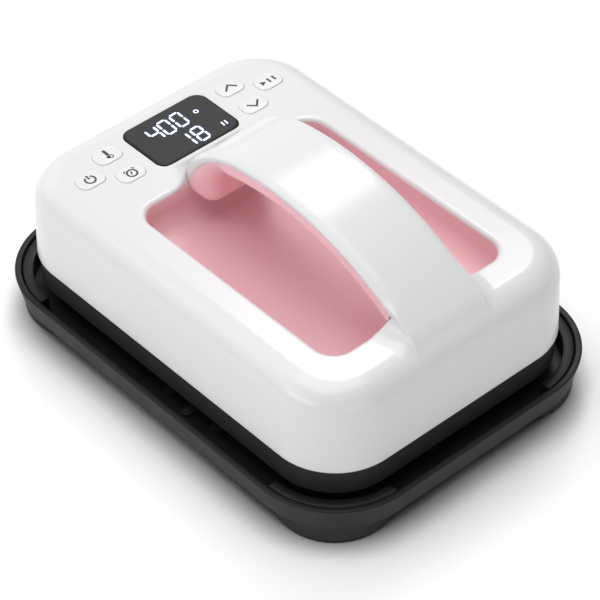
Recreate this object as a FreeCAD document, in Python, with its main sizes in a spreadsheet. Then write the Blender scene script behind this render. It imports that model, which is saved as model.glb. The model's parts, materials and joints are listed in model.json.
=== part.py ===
"""Mini handheld heat press on its insulated rest tray.

Millimetres. The floor is z = 0 and the origin is under the middle of the tray.
+X is the right of someone who holds the handle, +Y points to the display end.
"""
import FreeCAD, Part, Sketcher
import math
import os

VECTOR = FreeCAD.Vector
ROTATION = FreeCAD.Rotation

DRIVING_SIZES = [
    # Rest tray and its feet
    ("foot_radius", 26.0),
    ("foot_height", 8.8),
    ("foot_chamfer", 1.2),
    ("foot_x", 50.0),
    ("foot_y", 80.3),
    ("tray_width", 164.5),
    ("tray_length", 225.0),
    ("tray_corner", 39.6),
    ("tray_height", 12.6),
    ("tray_slope", 2.75),
    ("tray_rim", 3.0),
    ("tray_floor", 2.7),
    ("tray_wall", 2.6),
    ("seat_groove", 0.6),
    ("seat_land", 4.4),
    ("seat_drop", 0.8),
    # Rest pad that the hot plate stands on
    ("pad_margin", 2.0),
    ("pad_thickness", 2.5),
    ("pad_tab_thickness", 1.2),
    ("pad_tab_radius", 3.3),
    ("pad_tab_reach", 69.4),
    ("pad_rib_radius", 2.0),
    ("pad_rib_reach", 72.6),
    ("pad_end_reach", 97.0),
    ("pad_end_x", 10.7),
    ("pad_side_y", -12.8),
    ("pad_side_pitch", 15.0),
    ("felt_thickness", 1.2),
    ("felt_inset", 8.0),
    ("felt_gap", 0.5),
    # Heating plate and what lies on it
    ("plate_width", 127.0),
    ("plate_length", 184.0),
    ("plate_corner", 22.0),
    ("plate_thickness", 8.0),
    ("plate_edge", 1.0),
    ("element_radius", 3.0),
    ("element_clearance", 0.1),
    ("element_half_width", 50.0),
    ("element_half_length", 74.0),
    ("element_bend", 18.0),
    ("element_rise_bend", 7.0),
    ("element_end_x", 14.0),
    ("element_stub", 5.0),
    ("terminal_width", 6.3),
    ("terminal_thickness", 0.8),
    ("terminal_height", 7.0),
    ("blanket_inset", 1.5),
    ("blanket_thickness", 4.0),
    ("shield_thickness", 1.0),
    ("through_clearance", 0.6),
    ("standoff_x", 29.0),
    ("standoff_y", 50.0),
    ("standoff_radius", 4.0),
    ("standoff_length", 7.0),
    ("plate_screw_radius", 2.0),
    ("plate_screw_bite", 5.0),
    ("thread_runout", 1.0),
    ("screw_clearance", 0.1),
    ("sensor_radius", 1.6),
    ("sensor_length", 12.0),
    ("sensor_spacing", 8.0),
    ("sensor_y", 20.0),
    ("clamp_width", 6.0),
    ("clamp_length", 26.0),
    ("clamp_sheet", 0.6),
    ("saddle_hole_y", 10.4),
    ("window_width", 34.0),
    ("window_length", 26.0),
    # Black lower housing
    ("skirt_width", 142.0),
    ("skirt_length", 202.0),
    ("skirt_corner", 28.6),
    ("skirt_lap", 1.5),
    ("skirt_wall", 2.5),
    ("skirt_lip", 2.0),
    ("plate_clearance", 1.2),
    ("boss_overlap", 1.0),
    ("deck_thickness", 2.7),
    ("shadow_gap", 0.8),
    ("tongue_height", 4.3),
    ("tongue_wall", 1.6),
    ("tongue_clearance", 0.3),
    ("post_radius", 3.4),
    ("post_inset", 4.0),
    ("housing_screw_radius", 1.25),
    ("housing_screw_length", 22.0),
    # White upper shell
    ("shell_width", 144.0),
    ("shell_length", 204.0),
    ("shell_corner", 29.5),
    ("shell_height", 39.6),
    ("shell_lean", 1.25),
    ("shell_edge", 13.0),
    ("shell_wall", 2.4),
    # Handle: a white strap that arches over the pocket
    ("handle_width", 39.4),
    ("handle_rise", 30.8),
    ("handle_peak_y", -8.3),
    ("crest_radius", 137.8),
    ("crest_front_y", -88.4),
    ("shoulder_y", 12.0),
    ("shoulder_radius", 50.0),
    ("toe_radius", 8.0),
    ("strap_edge", 2.5),
    ("strap_root", 24.0),
    ("band_depth", 3.4),
    ("band_peak_y", -10.8),
    ("band_radius", 126.7),
    ("band_rear_y", 16.0),
    ("band_rear_radius", 36.0),
    ("flare_front", 12.5),
    ("flare_rear", 10.0),
    ("flare_bite", 1.2),
    ("flare_lap", 0.5),
    ("flare_root", 4.0),
    ("flare_step", 1.0),
    ("flare_least", 0.15),
    ("flare_inset", 2.0),
    # Pocket and its liner
    ("pocket_width", 96.0),
    ("pocket_front_y", -76.8),
    ("pocket_rear_y", 42.8),
    ("pocket_corner", 9.5),
    ("pocket_depth", 17.1),
    ("pocket_lip", 1.55),
    ("pocket_front_draft", 16.0),
    ("pocket_rear_draft", 10.0),
    ("pocket_side_draft", 12.0),
    ("liner_wall", 1.8),
    ("liner_fillet", 8.0),
    ("liner_flange", 2.7),
    ("flange_clearance", 0.3),
    ("liner_ear_x", 55.0),
    ("liner_ear_front_y", -60.0),
    ("liner_ear_rear_y", 30.0),
    ("liner_ear_drop", 7.0),
    ("liner_ear_size", 9.0),
    ("liner_screw_bite", 5.0),
    ("grip_screw_drop", 2.6),
    # Grip under the strap
    ("grip_depth", 6.2),
    ("grip_edge", 3.2),
    ("grip_lip_gap", 0.4),
    ("grip_wall", 2.4),
    ("grip_throat", 8.0),
    ("nose_front_y", 29.1),
    ("nose_clearance", 9.3),
    ("grip_clearance", 0.15),
    # Display and buttons
    ("lens_width", 44.4),
    ("lens_length", 30.2),
    ("lens_corner", 5.5),
    ("lens_y", 71.2),
    ("lens_seat", 1.2),
    ("lens_rise", 0.7),
    ("lens_bevel", 1.2),
    ("lens_ledge", 1.7),
    ("lens_clearance", 0.1),
    ("module_thickness", 3.2),
    ("module_gap", 0.2),
    ("button_width", 13.4),
    ("button_length", 9.4),
    ("button_corner", 3.9),
    ("button_rise", 0.6),
    ("button_edge", 0.3),
    ("button_clearance", 0.2),
    ("button_flange", 1.0),
    ("button_flange_gap", 0.2),
    ("button_stem", 2.0),
    ("inner_button_x", 34.0),
    ("outer_button_x", 49.3),
    ("rear_button_y", 79.0),
    ("outer_button_y", 71.3),
    ("front_button_y", 63.4),
    ("button_travel", 0.6),
    # Control board under the display
    ("control_board_width", 112.0),
    ("control_board_length", 34.0),
    ("board_thickness", 1.6),
    ("board_corner", 3.0),
    ("control_board_drop", 8.1),
    ("board_boss_radius", 3.0),
    ("board_boss_inset_x", 5.0),
    ("board_boss_inset_y", 5.8),
    ("board_screw_radius", 1.1),
    ("board_screw_bite", 5.0),
    ("switch_size", 6.0),
    ("switch_height", 3.6),
    ("plunger_radius", 1.6),
    ("chip_size", 10.0),
    ("chip_height", 1.5),
    ("buzzer_radius", 6.0),
    ("buzzer_height", 5.0),
    ("buzzer_inset", 22.0),
    # Power board over the deck
    ("power_board_width", 86.0),
    ("power_board_length", 64.0),
    ("power_board_y", 26.0),
    ("power_post_height", 4.3),
    ("power_post_inset", 5.0),
    ("power_screw_bite", 3.0),
    ("triac_width", 10.2),
    ("triac_depth", 4.5),
    ("triac_height", 9.5),
    ("sink_width", 22.0),
    ("sink_depth", 10.0),
    ("sink_height", 12.5),
    ("sink_fin", 1.4),
    ("capacitor_width", 18.0),
    ("capacitor_depth", 8.5),
    ("capacitor_height", 12.0),
    ("fuse_radius", 2.6),
    ("fuse_length", 20.0),
    ("block_width", 24.0),
    ("block_depth", 9.0),
    ("block_height", 10.0),
    # Cord entry at the rear
    ("gland_height", 13.5),
    ("gland_bore", 3.6),
    ("gland_neck", 6.6),
    ("gland_flange", 9.0),
    ("gland_nose", 5.5),
    ("gland_inner", 3.0),
    ("gland_clearance", 0.2),
    ("gland_lock", 1.2),
    ("cord_clamp_width", 24.0),
    ("cord_clamp_depth", 7.0),
    ("cord_clamp_height", 3.0),
    ("cord_clamp_y", 84.0),
    ("clamp_screw_x", 9.1),
    ("clamp_screw_bite", 6.0),
]


# Shares that hold at any size
HEAD_HEIGHT = 0.8
HEAD_RADIUS = 1.9
FLARE_NARROWING = 0.4
LINER_ARM = 1.5

# How far a cutting outline runs past what it cuts
WELL_CLEAR = 20.0


class Size:
    """A length that knows its value and the expression that ties it to the sheet."""

    def __init__(self, value, text):
        self.value = value
        self.text = text

    def __float__(self):
        return self.value

    def __add__(self, other):
        other = as_size(other)
        return Size(self.value + other.value, f"({self.text} + {other.text})")

    def __sub__(self, other):
        other = as_size(other)
        return Size(self.value - other.value, f"({self.text} - {other.text})")

    def __mul__(self, other):
        other = as_size(other)
        return Size(self.value * other.value, f"({self.text} * {other.text})")

    def __truediv__(self, other):
        other = as_size(other)
        return Size(self.value / other.value, f"({self.text} / {other.text})")

    def __neg__(self):
        return Size(-self.value, f"(0 - {self.text})")


def as_size(value):
    if isinstance(value, Size):
        return value
    return Size(float(value), f"{float(value):.6f}")


class Sheet:
    """The driving sizes, each an attribute with the alias of its cell."""

    def __init__(self, doc, rows):
        self.cells = doc.addObject("Spreadsheet::Sheet", "Sizes")
        for number, (alias, value) in enumerate(rows, start=1):
            self.cells.set(f"A{number}", alias)
            self.cells.set(f"B{number}", str(value))
            self.cells.setAlias(f"B{number}", alias)
        doc.recompute()
        for alias, _ in rows:
            setattr(self, alias, Size(float(self.cells.get(alias)), f"Sizes.{alias}"))


doc = FreeCAD.newDocument("heat_press")
s = Sheet(doc, DRIVING_SIZES)

# Levels above the floor
TRAY_BASE = s.foot_height
RIM_TOP = TRAY_BASE + s.tray_height
TRAY_FLOOR_TOP = TRAY_BASE + s.tray_floor
PAD_TOP = TRAY_FLOOR_TOP + s.pad_thickness
PLATE_TOP = PAD_TOP + s.plate_thickness
BLANKET_TOP = PLATE_TOP + s.blanket_thickness
SHIELD_TOP = BLANKET_TOP + s.shield_thickness
DECK_BASE = PLATE_TOP + s.standoff_length
DECK_TOP = DECK_BASE + s.deck_thickness
SKIRT_BASE = PLATE_TOP - s.skirt_lap
SHELL_BASE = DECK_TOP + s.shadow_gap
SHELL_TOP = SHELL_BASE + s.shell_height
CEILING = SHELL_TOP - s.shell_wall
LINER_TOP = SHELL_TOP - s.pocket_lip
POCKET_FLOOR = SHELL_TOP - s.pocket_depth
CREST_TOP = SHELL_TOP + s.handle_rise
BOARD_TOP = CEILING - s.control_board_drop
POWER_BOARD_BASE = DECK_TOP + s.power_post_height
POWER_BOARD_TOP = POWER_BOARD_BASE + s.board_thickness
FLANGE_TOP = CEILING - s.button_flange_gap
GLAND_LEVEL = SHELL_BASE + s.gland_height
REAR_FACE = s.shell_length / 2 - s.shell_lean * s.gland_height / s.shell_height
NODES = []


def bind(thing, **sizes):
    """Tie properties to the sheet; a double underscore stands for a dot."""
    for name, size in sizes.items():
        thing.setExpression(name.replace("__", "."), as_size(size).text)


def move_to(thing, x=0, y=0, z=0):
    bind(thing, Placement__Base__x=x, Placement__Base__y=y, Placement__Base__z=z)
    return thing


def node(name, thing):
    """Give a finished piece its own label, which names its file."""
    thing.Label = name
    NODES.append(thing)
    return thing


def new_sketch(body, name, x, y, z):
    sketch = body.newObject("Sketcher::SketchObject", name)
    plane = [item for item in body.Origin.OriginFeatures if item.Role == "XY_Plane"][0]
    sketch.AttachmentSupport = [(plane, "")]
    sketch.MapMode = "FlatFace"
    bind(sketch, AttachmentOffset__Base__x=x, AttachmentOffset__Base__y=y, AttachmentOffset__Base__z=z)
    return sketch


def rounded_rectangle(sketch, width, length, corner):
    """Four lines and four tangent arcs round the sketch's origin, tied to three sizes."""
    half_w, half_l, r = float(width) / 2, float(length) / 2, float(corner)
    signs = [(1, 1), (-1, 1), (-1, -1), (1, -1)]
    first = sketch.GeometryCount
    for number, (sx, sy) in enumerate(signs):
        middle = VECTOR(sx * (half_w - r), sy * (half_l - r), 0)
        circle = Part.Circle(middle, VECTOR(0, 0, 1), r)
        start = math.radians(90 * number)
        sketch.addGeometry(Part.ArcOfCircle(circle, start, start + math.pi / 2), False)
    for number in range(4):
        begin = sketch.getPoint(first + number, 2)
        end = sketch.getPoint(first + (number + 1) % 4, 1)
        sketch.addGeometry(Part.LineSegment(begin, end), False)
        side = first + 4 + number
        sketch.addConstraint(Sketcher.Constraint("Tangent", first + number, 2, side, 1))
        sketch.addConstraint(Sketcher.Constraint("Tangent", side, 2, first + (number + 1) % 4, 1))
        level = "Horizontal" if number % 2 == 0 else "Vertical"
        sketch.addConstraint(Sketcher.Constraint(level, side))
    for number in range(1, 4):
        sketch.addConstraint(Sketcher.Constraint("Equal", first, first + number))
    sketch.addConstraint(Sketcher.Constraint("Symmetric", first, 3, first + 2, 3, -1, 1))
    sized = [
        ("Radius", (first,), corner),
        ("DistanceX", (first + 1, 3, first, 3), width - corner * 2),
        ("DistanceY", (first + 3, 3, first, 3), length - corner * 2),
    ]
    for kind, where, size in sized:
        index = sketch.addConstraint(Sketcher.Constraint(kind, *where, float(size)))
        sketch.setExpression(f"Constraints[{index}]", size.text)


def slab(name, width, length, corner, level, height, x=0, y=0):
    """A flat plate with rounded corners, its underside at the level."""
    body = doc.addObject("PartDesign::Body", name)
    sketch = new_sketch(body, f"{name}_outline", x, y, level)
    rounded_rectangle(sketch, as_size(width), as_size(length), as_size(corner))
    pad = body.newObject("PartDesign::Pad", f"{name}_pad")
    pad.Profile = sketch
    bind(pad, Length=height)
    sketch.Visibility = False
    doc.recompute()
    return body


def tapered_slab(name, width, length, corner, lean, level, height, x=0, y=0):
    """A slab whose sides all lean outwards by the same run from its foot to its top."""
    body = slab(name, width, length, corner, level, height, x, y)
    lean, height = as_size(lean), as_size(height)
    bind(body.Tip, TaperAngle=Size(0.0, f"atan({lean.text} / {height.text})"))
    doc.recompute()
    return body


def edges_at(shape, level, slack=0.01):
    """Names of the edges that lie flat at one level."""
    picked = []
    for number, edge in enumerate(shape.Edges, start=1):
        box = edge.BoundBox
        if abs(box.ZMin - float(level)) < slack and abs(box.ZMax - float(level)) < slack:
            picked.append(f"Edge{number}")
    return picked


def round_level(body, level, radius, kind="Fillet"):
    """Round or chamfer the flat edges at one level of a body."""
    tip = body.Tip
    feature = body.newObject(f"PartDesign::{kind}", f"{body.Name}_{kind.lower()}")
    feature.Base = (tip, edges_at(tip.Shape, level))
    if kind == "Fillet":
        bind(feature, Radius=radius)
    else:
        bind(feature, Size=radius)
    doc.recompute()
    return body


def block(name, width, length, height, x, y, z):
    """A box, centred on x and y, with its underside at z."""
    thing = doc.addObject("Part::Box", name)
    bind(thing, Length=width, Width=length, Height=height)
    width, length = as_size(width), as_size(length)
    return move_to(thing, as_size(x) - width / 2, as_size(y) - length / 2, z)


def rod(name, radius, height, x, y, z, tilt=None):
    """A cylinder that starts at the point and stands up, unless a tilt turns it."""
    thing = doc.addObject("Part::Cylinder", name)
    if tilt is not None:
        thing.Placement = FreeCAD.Placement(VECTOR(), tilt)
    bind(thing, Radius=radius, Height=height)
    return move_to(thing, x, y, z)


def fuse(name, pieces):
    thing = doc.addObject("Part::MultiFuse", name)
    thing.Shapes = pieces
    doc.recompute()
    return thing


def group(name, pieces):
    thing = doc.addObject("Part::Compound", name)
    thing.Links = pieces
    doc.recompute()
    return thing


def cut(name, base, tools):
    thing = doc.addObject("Part::Cut", name)
    thing.Base = base
    thing.Tool = tools[0] if len(tools) == 1 else group(f"{name}_tools", tools)
    doc.recompute()
    return thing


def shaped(name, shape):
    """A piece whose form has no primitive: its shape is worked out from the sheet."""
    thing = doc.addObject("Part::Feature", name)
    thing.Shape = shape
    thing.Placement = FreeCAD.Placement()
    return thing


def four(x, y):
    return [(x, y), (-x, y), (-x, -y), (x, -y)]


UP = ROTATION(VECTOR(0, 0, 1), 0)
DOWN = ROTATION(VECTOR(1, 0, 0), 180)
FORWARD = ROTATION(VECTOR(1, 0, 0), 90)
BACKWARD = ROTATION(VECTOR(1, 0, 0), -90)
RIGHTWARD = ROTATION(VECTOR(0, 1, 0), 90)


def screws(name, places, radius, length, seat, turn):
    """A set of pan-head screws: heads on the seat level, shanks towards the turn."""
    pieces = []
    sign = 1 if turn is UP else -1
    head = radius * HEAD_HEIGHT
    for number, (x, y) in enumerate(places):
        shank = rod(f"{name}_shank{number}", radius, as_size(length) + head, x, y, seat - head * sign, turn)
        cap = rod(f"{name}_head{number}", radius * HEAD_RADIUS, head, x, y, seat - head * sign, turn)
        pieces.append(fuse(f"{name}_{number}", [shank, cap]))
    return node(name, group(f"{name}_set", pieces))


def rods(name, places, radius, height, z):
    return [rod(f"{name}{number}", radius, height, x, y, z) for number, (x, y) in enumerate(places)]


# ---------------------------------------------------------------- rest tray

def make_rubber_feet():
    feet = []
    for number, (x, y) in enumerate(four(s.foot_x, s.foot_y)):
        body = doc.addObject("PartDesign::Body", f"foot{number}")
        cylinder = body.newObject("PartDesign::AdditiveCylinder", f"foot{number}_disc")
        bind(cylinder, Radius=s.foot_radius, Height=s.foot_height)
        doc.recompute()
        round_level(body, 0, s.foot_chamfer, "Chamfer")
        feet.append(move_to(body, x, y))
    node("rubber_feet", group("rubber_feet_set", feet))


def make_base_tray():
    outer = tapered_slab(
        "tray_outer", s.tray_width - s.tray_slope * 2, s.tray_length - s.tray_slope * 2,
        s.tray_corner - s.tray_slope, s.tray_slope, TRAY_BASE, s.tray_height)
    inset = s.tray_slope + s.tray_wall
    inner = tapered_slab(
        "tray_hollow", s.tray_width - inset * 2, s.tray_length - inset * 2, s.tray_corner - inset,
        inset - s.tray_rim, TRAY_FLOOR_TOP, s.tray_height - s.tray_floor)
    felt = s.felt_inset * 2
    felt_bed = slab(
        "felt_bed", s.plate_width - felt, s.plate_length - felt, s.plate_corner,
        TRAY_FLOOR_TOP - s.felt_thickness, s.felt_thickness)
    dish = cut("tray_dish", outer, [inner, felt_bed])
    outside = s.tray_corner - s.tray_rim - s.seat_groove
    inside = outside - s.seat_land
    seat_height = s.tray_height - s.tray_floor - s.seat_drop
    pieces = [dish]
    centre_x = s.tray_width / 2 - s.tray_corner
    centre_y = s.tray_length / 2 - s.tray_corner
    for number, (x, y) in enumerate(four(centre_x, centre_y)):
        turn = ROTATION(VECTOR(0, 0, 1), 90 * number)
        big = rod(f"seat_outer{number}", outside, seat_height, x, y, TRAY_FLOOR_TOP, turn)
        small = rod(f"seat_inner{number}", inside, seat_height, x, y, TRAY_FLOOR_TOP, turn)
        big.Angle = 90
        pieces.append(cut(f"corner_seat{number}", big, [small]))
    node("base_tray", fuse("base_tray_body", pieces))
    node("base_insulation", slab(
        "felt_sheet", s.plate_width - felt - s.felt_gap * 2, s.plate_length - felt - s.felt_gap * 2,
        s.plate_corner - s.felt_gap,
        TRAY_FLOOR_TOP - s.felt_thickness, s.felt_thickness))


def make_rest_pad():
    """The pad's low tabs locate it in the tray: three on each side, two at each end."""
    margin = s.pad_margin * 2
    pieces = [slab(
        "pad_sheet", s.plate_width + margin, s.plate_length + margin, s.plate_corner + s.pad_margin,
        TRAY_FLOOR_TOP, s.pad_thickness)]
    start_x = s.plate_width / 2 - s.pad_tab_radius * 2
    for row in (-1, 0, 1):
        y = s.pad_side_y + s.pad_side_pitch * row
        radius = s.pad_rib_radius if row == 0 else s.pad_tab_radius
        reach = s.pad_rib_reach if row == 0 else s.pad_tab_reach
        for side in (-1, 1):
            long = reach - start_x
            pieces.append(slab(
                f"pad_side{row + 1}{side + 1}", long, radius * 2, radius * 0.99,
                TRAY_FLOOR_TOP, s.pad_tab_thickness, (start_x + long / 2) * side, y))
    start_y = s.plate_length / 2 - s.pad_tab_radius * 2
    for end in (-1, 1):
        for side in (-1, 1):
            long = s.pad_end_reach - start_y
            pieces.append(slab(
                f"pad_end{end + 1}{side + 1}", s.pad_tab_radius * 2, long, s.pad_tab_radius * 0.7,
                TRAY_FLOOR_TOP, s.pad_tab_thickness, s.pad_end_x * side, (start_y + long / 2) * end))
    node("rest_pad", fuse("rest_pad_body", pieces))


# ------------------------------------------------------------- heating pack

ELEMENT_LEVEL = PLATE_TOP - s.element_radius
STANDOFFS = four(s.standoff_x, s.standoff_y)
RISER_X = s.element_end_x - s.element_rise_bend
RISERS = [(RISER_X, s.element_half_length), (-RISER_X, s.element_half_length)]


def make_heating_plate():
    blank = slab("plate_blank", s.plate_width, s.plate_length, s.plate_corner, PAD_TOP, s.plate_thickness)
    round_level(blank, PAD_TOP, s.plate_edge)
    reach = s.element_radius + s.element_clearance
    depth = s.element_radius * 2 + s.element_clearance
    rings = []
    for name, grow in (("groove_outer", reach), ("groove_inner", -reach)):
        rings.append(slab(
            name, (s.element_half_width + grow) * 2, (s.element_half_length + grow) * 2,
            s.element_bend + grow, PLATE_TOP - depth, depth))
    groove = cut("element_groove", rings[0], [rings[1]])
    threads = rods(
        "plate_thread", STANDOFFS, s.plate_screw_radius + s.screw_clearance,
        s.plate_screw_bite + s.thread_runout, PLATE_TOP - s.plate_screw_bite - s.thread_runout)
    node("heating_plate", cut("heating_plate_body", blank, [groove] + threads))


def make_heating_element():
    """A sheathed heater: one rounded loop, its two ends turned up at the rear."""
    across = s.element_half_width - s.element_bend
    along = s.element_half_length - s.element_bend
    r = s.element_radius
    level = ELEMENT_LEVEL
    pieces = [rod("run_front", r, across * 2, -across, -s.element_half_length, level, RIGHTWARD)]
    for side in (-1, 1):
        x = s.element_half_width * side
        pieces.append(rod(f"run_side{side + 1}", r, along * 2, x, -along, level, BACKWARD))
        near = s.element_end_x if side > 0 else -across
        pieces.append(rod(
            f"run_rear{side + 1}", r, across - s.element_end_x,
            near, s.element_half_length, level, RIGHTWARD))
        riser = rod(
            f"riser{side + 1}", r, s.element_stub, RISER_X * side, s.element_half_length,
            level + s.element_rise_bend)
        pieces.append(riser)
        bend = doc.addObject("Part::Torus", f"rise_bend{side + 1}")
        start = 90 if side > 0 else 0
        bend.Placement = FreeCAD.Placement(
            VECTOR(), ROTATION(VECTOR(1, 0, 0), -90) * ROTATION(VECTOR(0, 0, 1), start))
        bend.Angle3 = 90
        bind(bend, Radius1=s.element_rise_bend, Radius2=r)
        pieces.append(move_to(
            bend, s.element_end_x * side, s.element_half_length, level + s.element_rise_bend))
    for number, (x, y) in enumerate(four(across, along)):
        corner = doc.addObject("Part::Torus", f"loop_corner{number}")
        corner.Placement = FreeCAD.Placement(VECTOR(), ROTATION(VECTOR(0, 0, 1), 90 * number))
        corner.Angle3 = 90
        bind(corner, Radius1=s.element_bend, Radius2=r)
        pieces.append(move_to(corner, x, y, level))
    node("heating_element", fuse("heating_element_tube", pieces))
    top = ELEMENT_LEVEL + s.element_rise_bend + s.element_stub
    tabs = []
    for number, (x, y) in enumerate(RISERS):
        tabs.append(block(
            f"terminal{number}", s.terminal_thickness, s.terminal_width, s.terminal_height, x, y, top))
    node("element_terminals", group("element_terminal_set", tabs))


def make_blanket_and_shield():
    """Ceramic-fibre blanket and steel shield, both pierced for what stands on the plate."""
    inset = s.blanket_inset * 2
    for name, level, thick in (
            ("insulation_pad", PLATE_TOP, s.blanket_thickness),
            ("heat_shield", BLANKET_TOP, s.shield_thickness)):
        sheet = slab(
            f"{name}_sheet", s.plate_width - inset, s.plate_length - inset,
            s.plate_corner - s.blanket_inset, level, thick)
        tools = rods(
            f"{name}_post", STANDOFFS, s.standoff_radius + s.through_clearance, thick, level)
        tools += rods(
            f"{name}_riser", RISERS, s.element_radius + s.through_clearance, thick, level)
        if name == "insulation_pad":
            tools.append(block(
                f"{name}_window", s.window_width, s.window_length, thick, 0, s.sensor_y, level))
            bend_room = (s.element_radius + s.through_clearance) * 2
            tools.append(block(
                f"{name}_bend_slot", s.element_end_x * 2 + bend_room, bend_room, thick,
                0, s.element_half_length, level))
        node(name, cut(f"{name}_body", sheet, tools))


def make_sensors():
    level = PLATE_TOP + s.sensor_radius
    start = -s.sensor_length / 2
    for name, side in (("temperature_sensor", -1), ("thermal_fuse", 1)):
        y = s.sensor_y + s.sensor_spacing / 2 * side
        node(name, rod(f"{name}_bead", s.sensor_radius, s.sensor_length, start, y, level, RIGHTWARD))
    height = s.sensor_radius * 2 + s.clamp_sheet + s.element_clearance
    saddle = block("saddle", s.clamp_width, s.clamp_length, height, 0, s.sensor_y, PLATE_TOP)
    room = (s.sensor_radius + s.element_clearance) * 2
    bay = block(
        "saddle_bay", s.clamp_width, s.sensor_spacing + room, room - s.element_clearance,
        0, s.sensor_y, PLATE_TOP)
    holes = rods(
        "saddle_hole", [(0, s.sensor_y + s.saddle_hole_y), (0, s.sensor_y - s.saddle_hole_y)],
        s.board_screw_radius + s.screw_clearance, height, PLATE_TOP)
    node("fuse_clamp", cut("fuse_clamp_body", saddle, [bay] + holes))


def make_plate_fixings():
    posts = []
    for number, (x, y) in enumerate(STANDOFFS):
        post = rod(f"standoff{number}", s.standoff_radius, s.standoff_length, x, y, PLATE_TOP)
        bore = rod(
            f"standoff_bore{number}", s.plate_screw_radius + s.screw_clearance, s.standoff_length,
            x, y, PLATE_TOP)
        posts.append(cut(f"standoff_tube{number}", post, [bore]))
    node("plate_standoffs", group("plate_standoff_set", posts))
    length = s.deck_thickness + s.standoff_length + s.plate_screw_bite
    screws("plate_screws", STANDOFFS, s.plate_screw_radius, length, DECK_TOP, DOWN)


# ------------------------------------------------------------ lower housing

POST_REACH = (s.skirt_corner - s.post_inset) * math.sqrt(0.5)
POST_X = s.skirt_width / 2 - s.skirt_corner + POST_REACH
POST_Y = s.skirt_length / 2 - s.skirt_corner + POST_REACH
POSTS = four(POST_X, POST_Y)
POWER_X = s.power_board_width / 2 - s.power_post_inset
POWER_Y = s.power_board_length / 2 - s.power_post_inset
POWER_POSTS = [(x, s.power_board_y + y) for x, y in four(POWER_X, POWER_Y)]
CLAMP_PILOTS = [(s.clamp_screw_x, s.cord_clamp_y), (-s.clamp_screw_x, s.cord_clamp_y)]


def cord_space(name):
    """The round way of a cord from the gland over the cradle."""
    start = s.cord_clamp_y - s.cord_clamp_depth
    return rod(name, s.gland_bore, s.cord_clamp_depth * 2, 0, start, GLAND_LEVEL, BACKWARD)


def make_lower_housing():
    height = DECK_TOP - SKIRT_BASE
    skirt = slab("skirt_block", s.skirt_width, s.skirt_length, s.skirt_corner, SKIRT_BASE, height)
    wall = s.skirt_wall * 2
    cavity = slab(
        "skirt_cavity", s.skirt_width - wall, s.skirt_length - wall, s.skirt_corner - s.skirt_wall,
        SKIRT_BASE + s.skirt_lip, DECK_BASE - SKIRT_BASE - s.skirt_lip)
    room = s.plate_clearance * 2
    mouth = slab(
        "skirt_mouth", s.plate_width + room, s.plate_length + room, s.plate_corner + s.plate_clearance,
        SKIRT_BASE, s.skirt_lip)
    hollow = cut("skirt_hollow", skirt, [cavity, mouth])
    posts = rods("housing_post", POSTS, s.post_radius, DECK_BASE - SKIRT_BASE, SKIRT_BASE)
    inset = (s.shell_wall + s.tongue_clearance) * 2
    ring = slab(
        "tongue_block", s.shell_width - inset, s.shell_length - inset, s.shell_corner - inset / 2,
        DECK_TOP, s.tongue_height)
    inset = inset + s.tongue_wall * 2
    core = slab(
        "tongue_core", s.shell_width - inset, s.shell_length - inset, s.shell_corner - inset / 2,
        DECK_TOP, s.tongue_height)
    notches = rods(
        "tongue_notch", POSTS, s.post_radius + s.through_clearance, s.tongue_height, DECK_TOP)
    notches.append(block(
        "tongue_gland_notch", s.gland_flange * 2.4, s.shell_wall * 6, s.tongue_height,
        0, s.shell_length / 2 - s.shell_wall * 2, DECK_TOP))
    tongue = cut("tongue", ring, [core] + notches)
    power_posts = rods("power_post", POWER_POSTS, s.board_boss_radius, s.power_post_height, DECK_TOP)
    cradle_height = GLAND_LEVEL - DECK_TOP
    cradle_block = block(
        "cord_cradle_block", s.cord_clamp_width, s.cord_clamp_depth, cradle_height,
        0, s.cord_clamp_y, DECK_TOP)
    cradle = cut("cord_cradle", cradle_block, [cord_space("cradle_groove")])
    solid = fuse("lower_housing_solid", [hollow] + posts + [tongue, cradle] + power_posts)
    drill = s.housing_screw_radius + s.screw_clearance
    tools = rods("post_hole", POSTS, drill, height, SKIRT_BASE)
    tools += rods("post_sink", POSTS, drill * HEAD_RADIUS, s.skirt_lip, SKIRT_BASE)
    tools += rods(
        "plate_screw_hole", STANDOFFS, s.plate_screw_radius + s.screw_clearance, s.deck_thickness, DECK_BASE)
    tools += rods(
        "riser_hole", RISERS, s.terminal_width / 2 + s.through_clearance, s.deck_thickness, DECK_BASE)
    pilot = s.board_screw_radius + s.screw_clearance
    tools += rods("power_pilot", POWER_POSTS, pilot, s.power_post_height, DECK_TOP)
    tools += rods("clamp_pilot", CLAMP_PILOTS, pilot, cradle_height, DECK_TOP)
    node("lower_housing", cut("lower_housing_body", solid, tools))
    screws(
        "housing_screws", POSTS, s.housing_screw_radius, s.housing_screw_length,
        SKIRT_BASE + s.skirt_lip, UP)


# -------------------------------------------------------------- upper shell

HALF_HANDLE = s.handle_width / 2


def arc_top(y, centre_y, centre_z, radius):
    """Height of a circle's upper half over y."""
    return centre_z + math.sqrt(radius ** 2 - (y - centre_y) ** 2)


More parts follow.
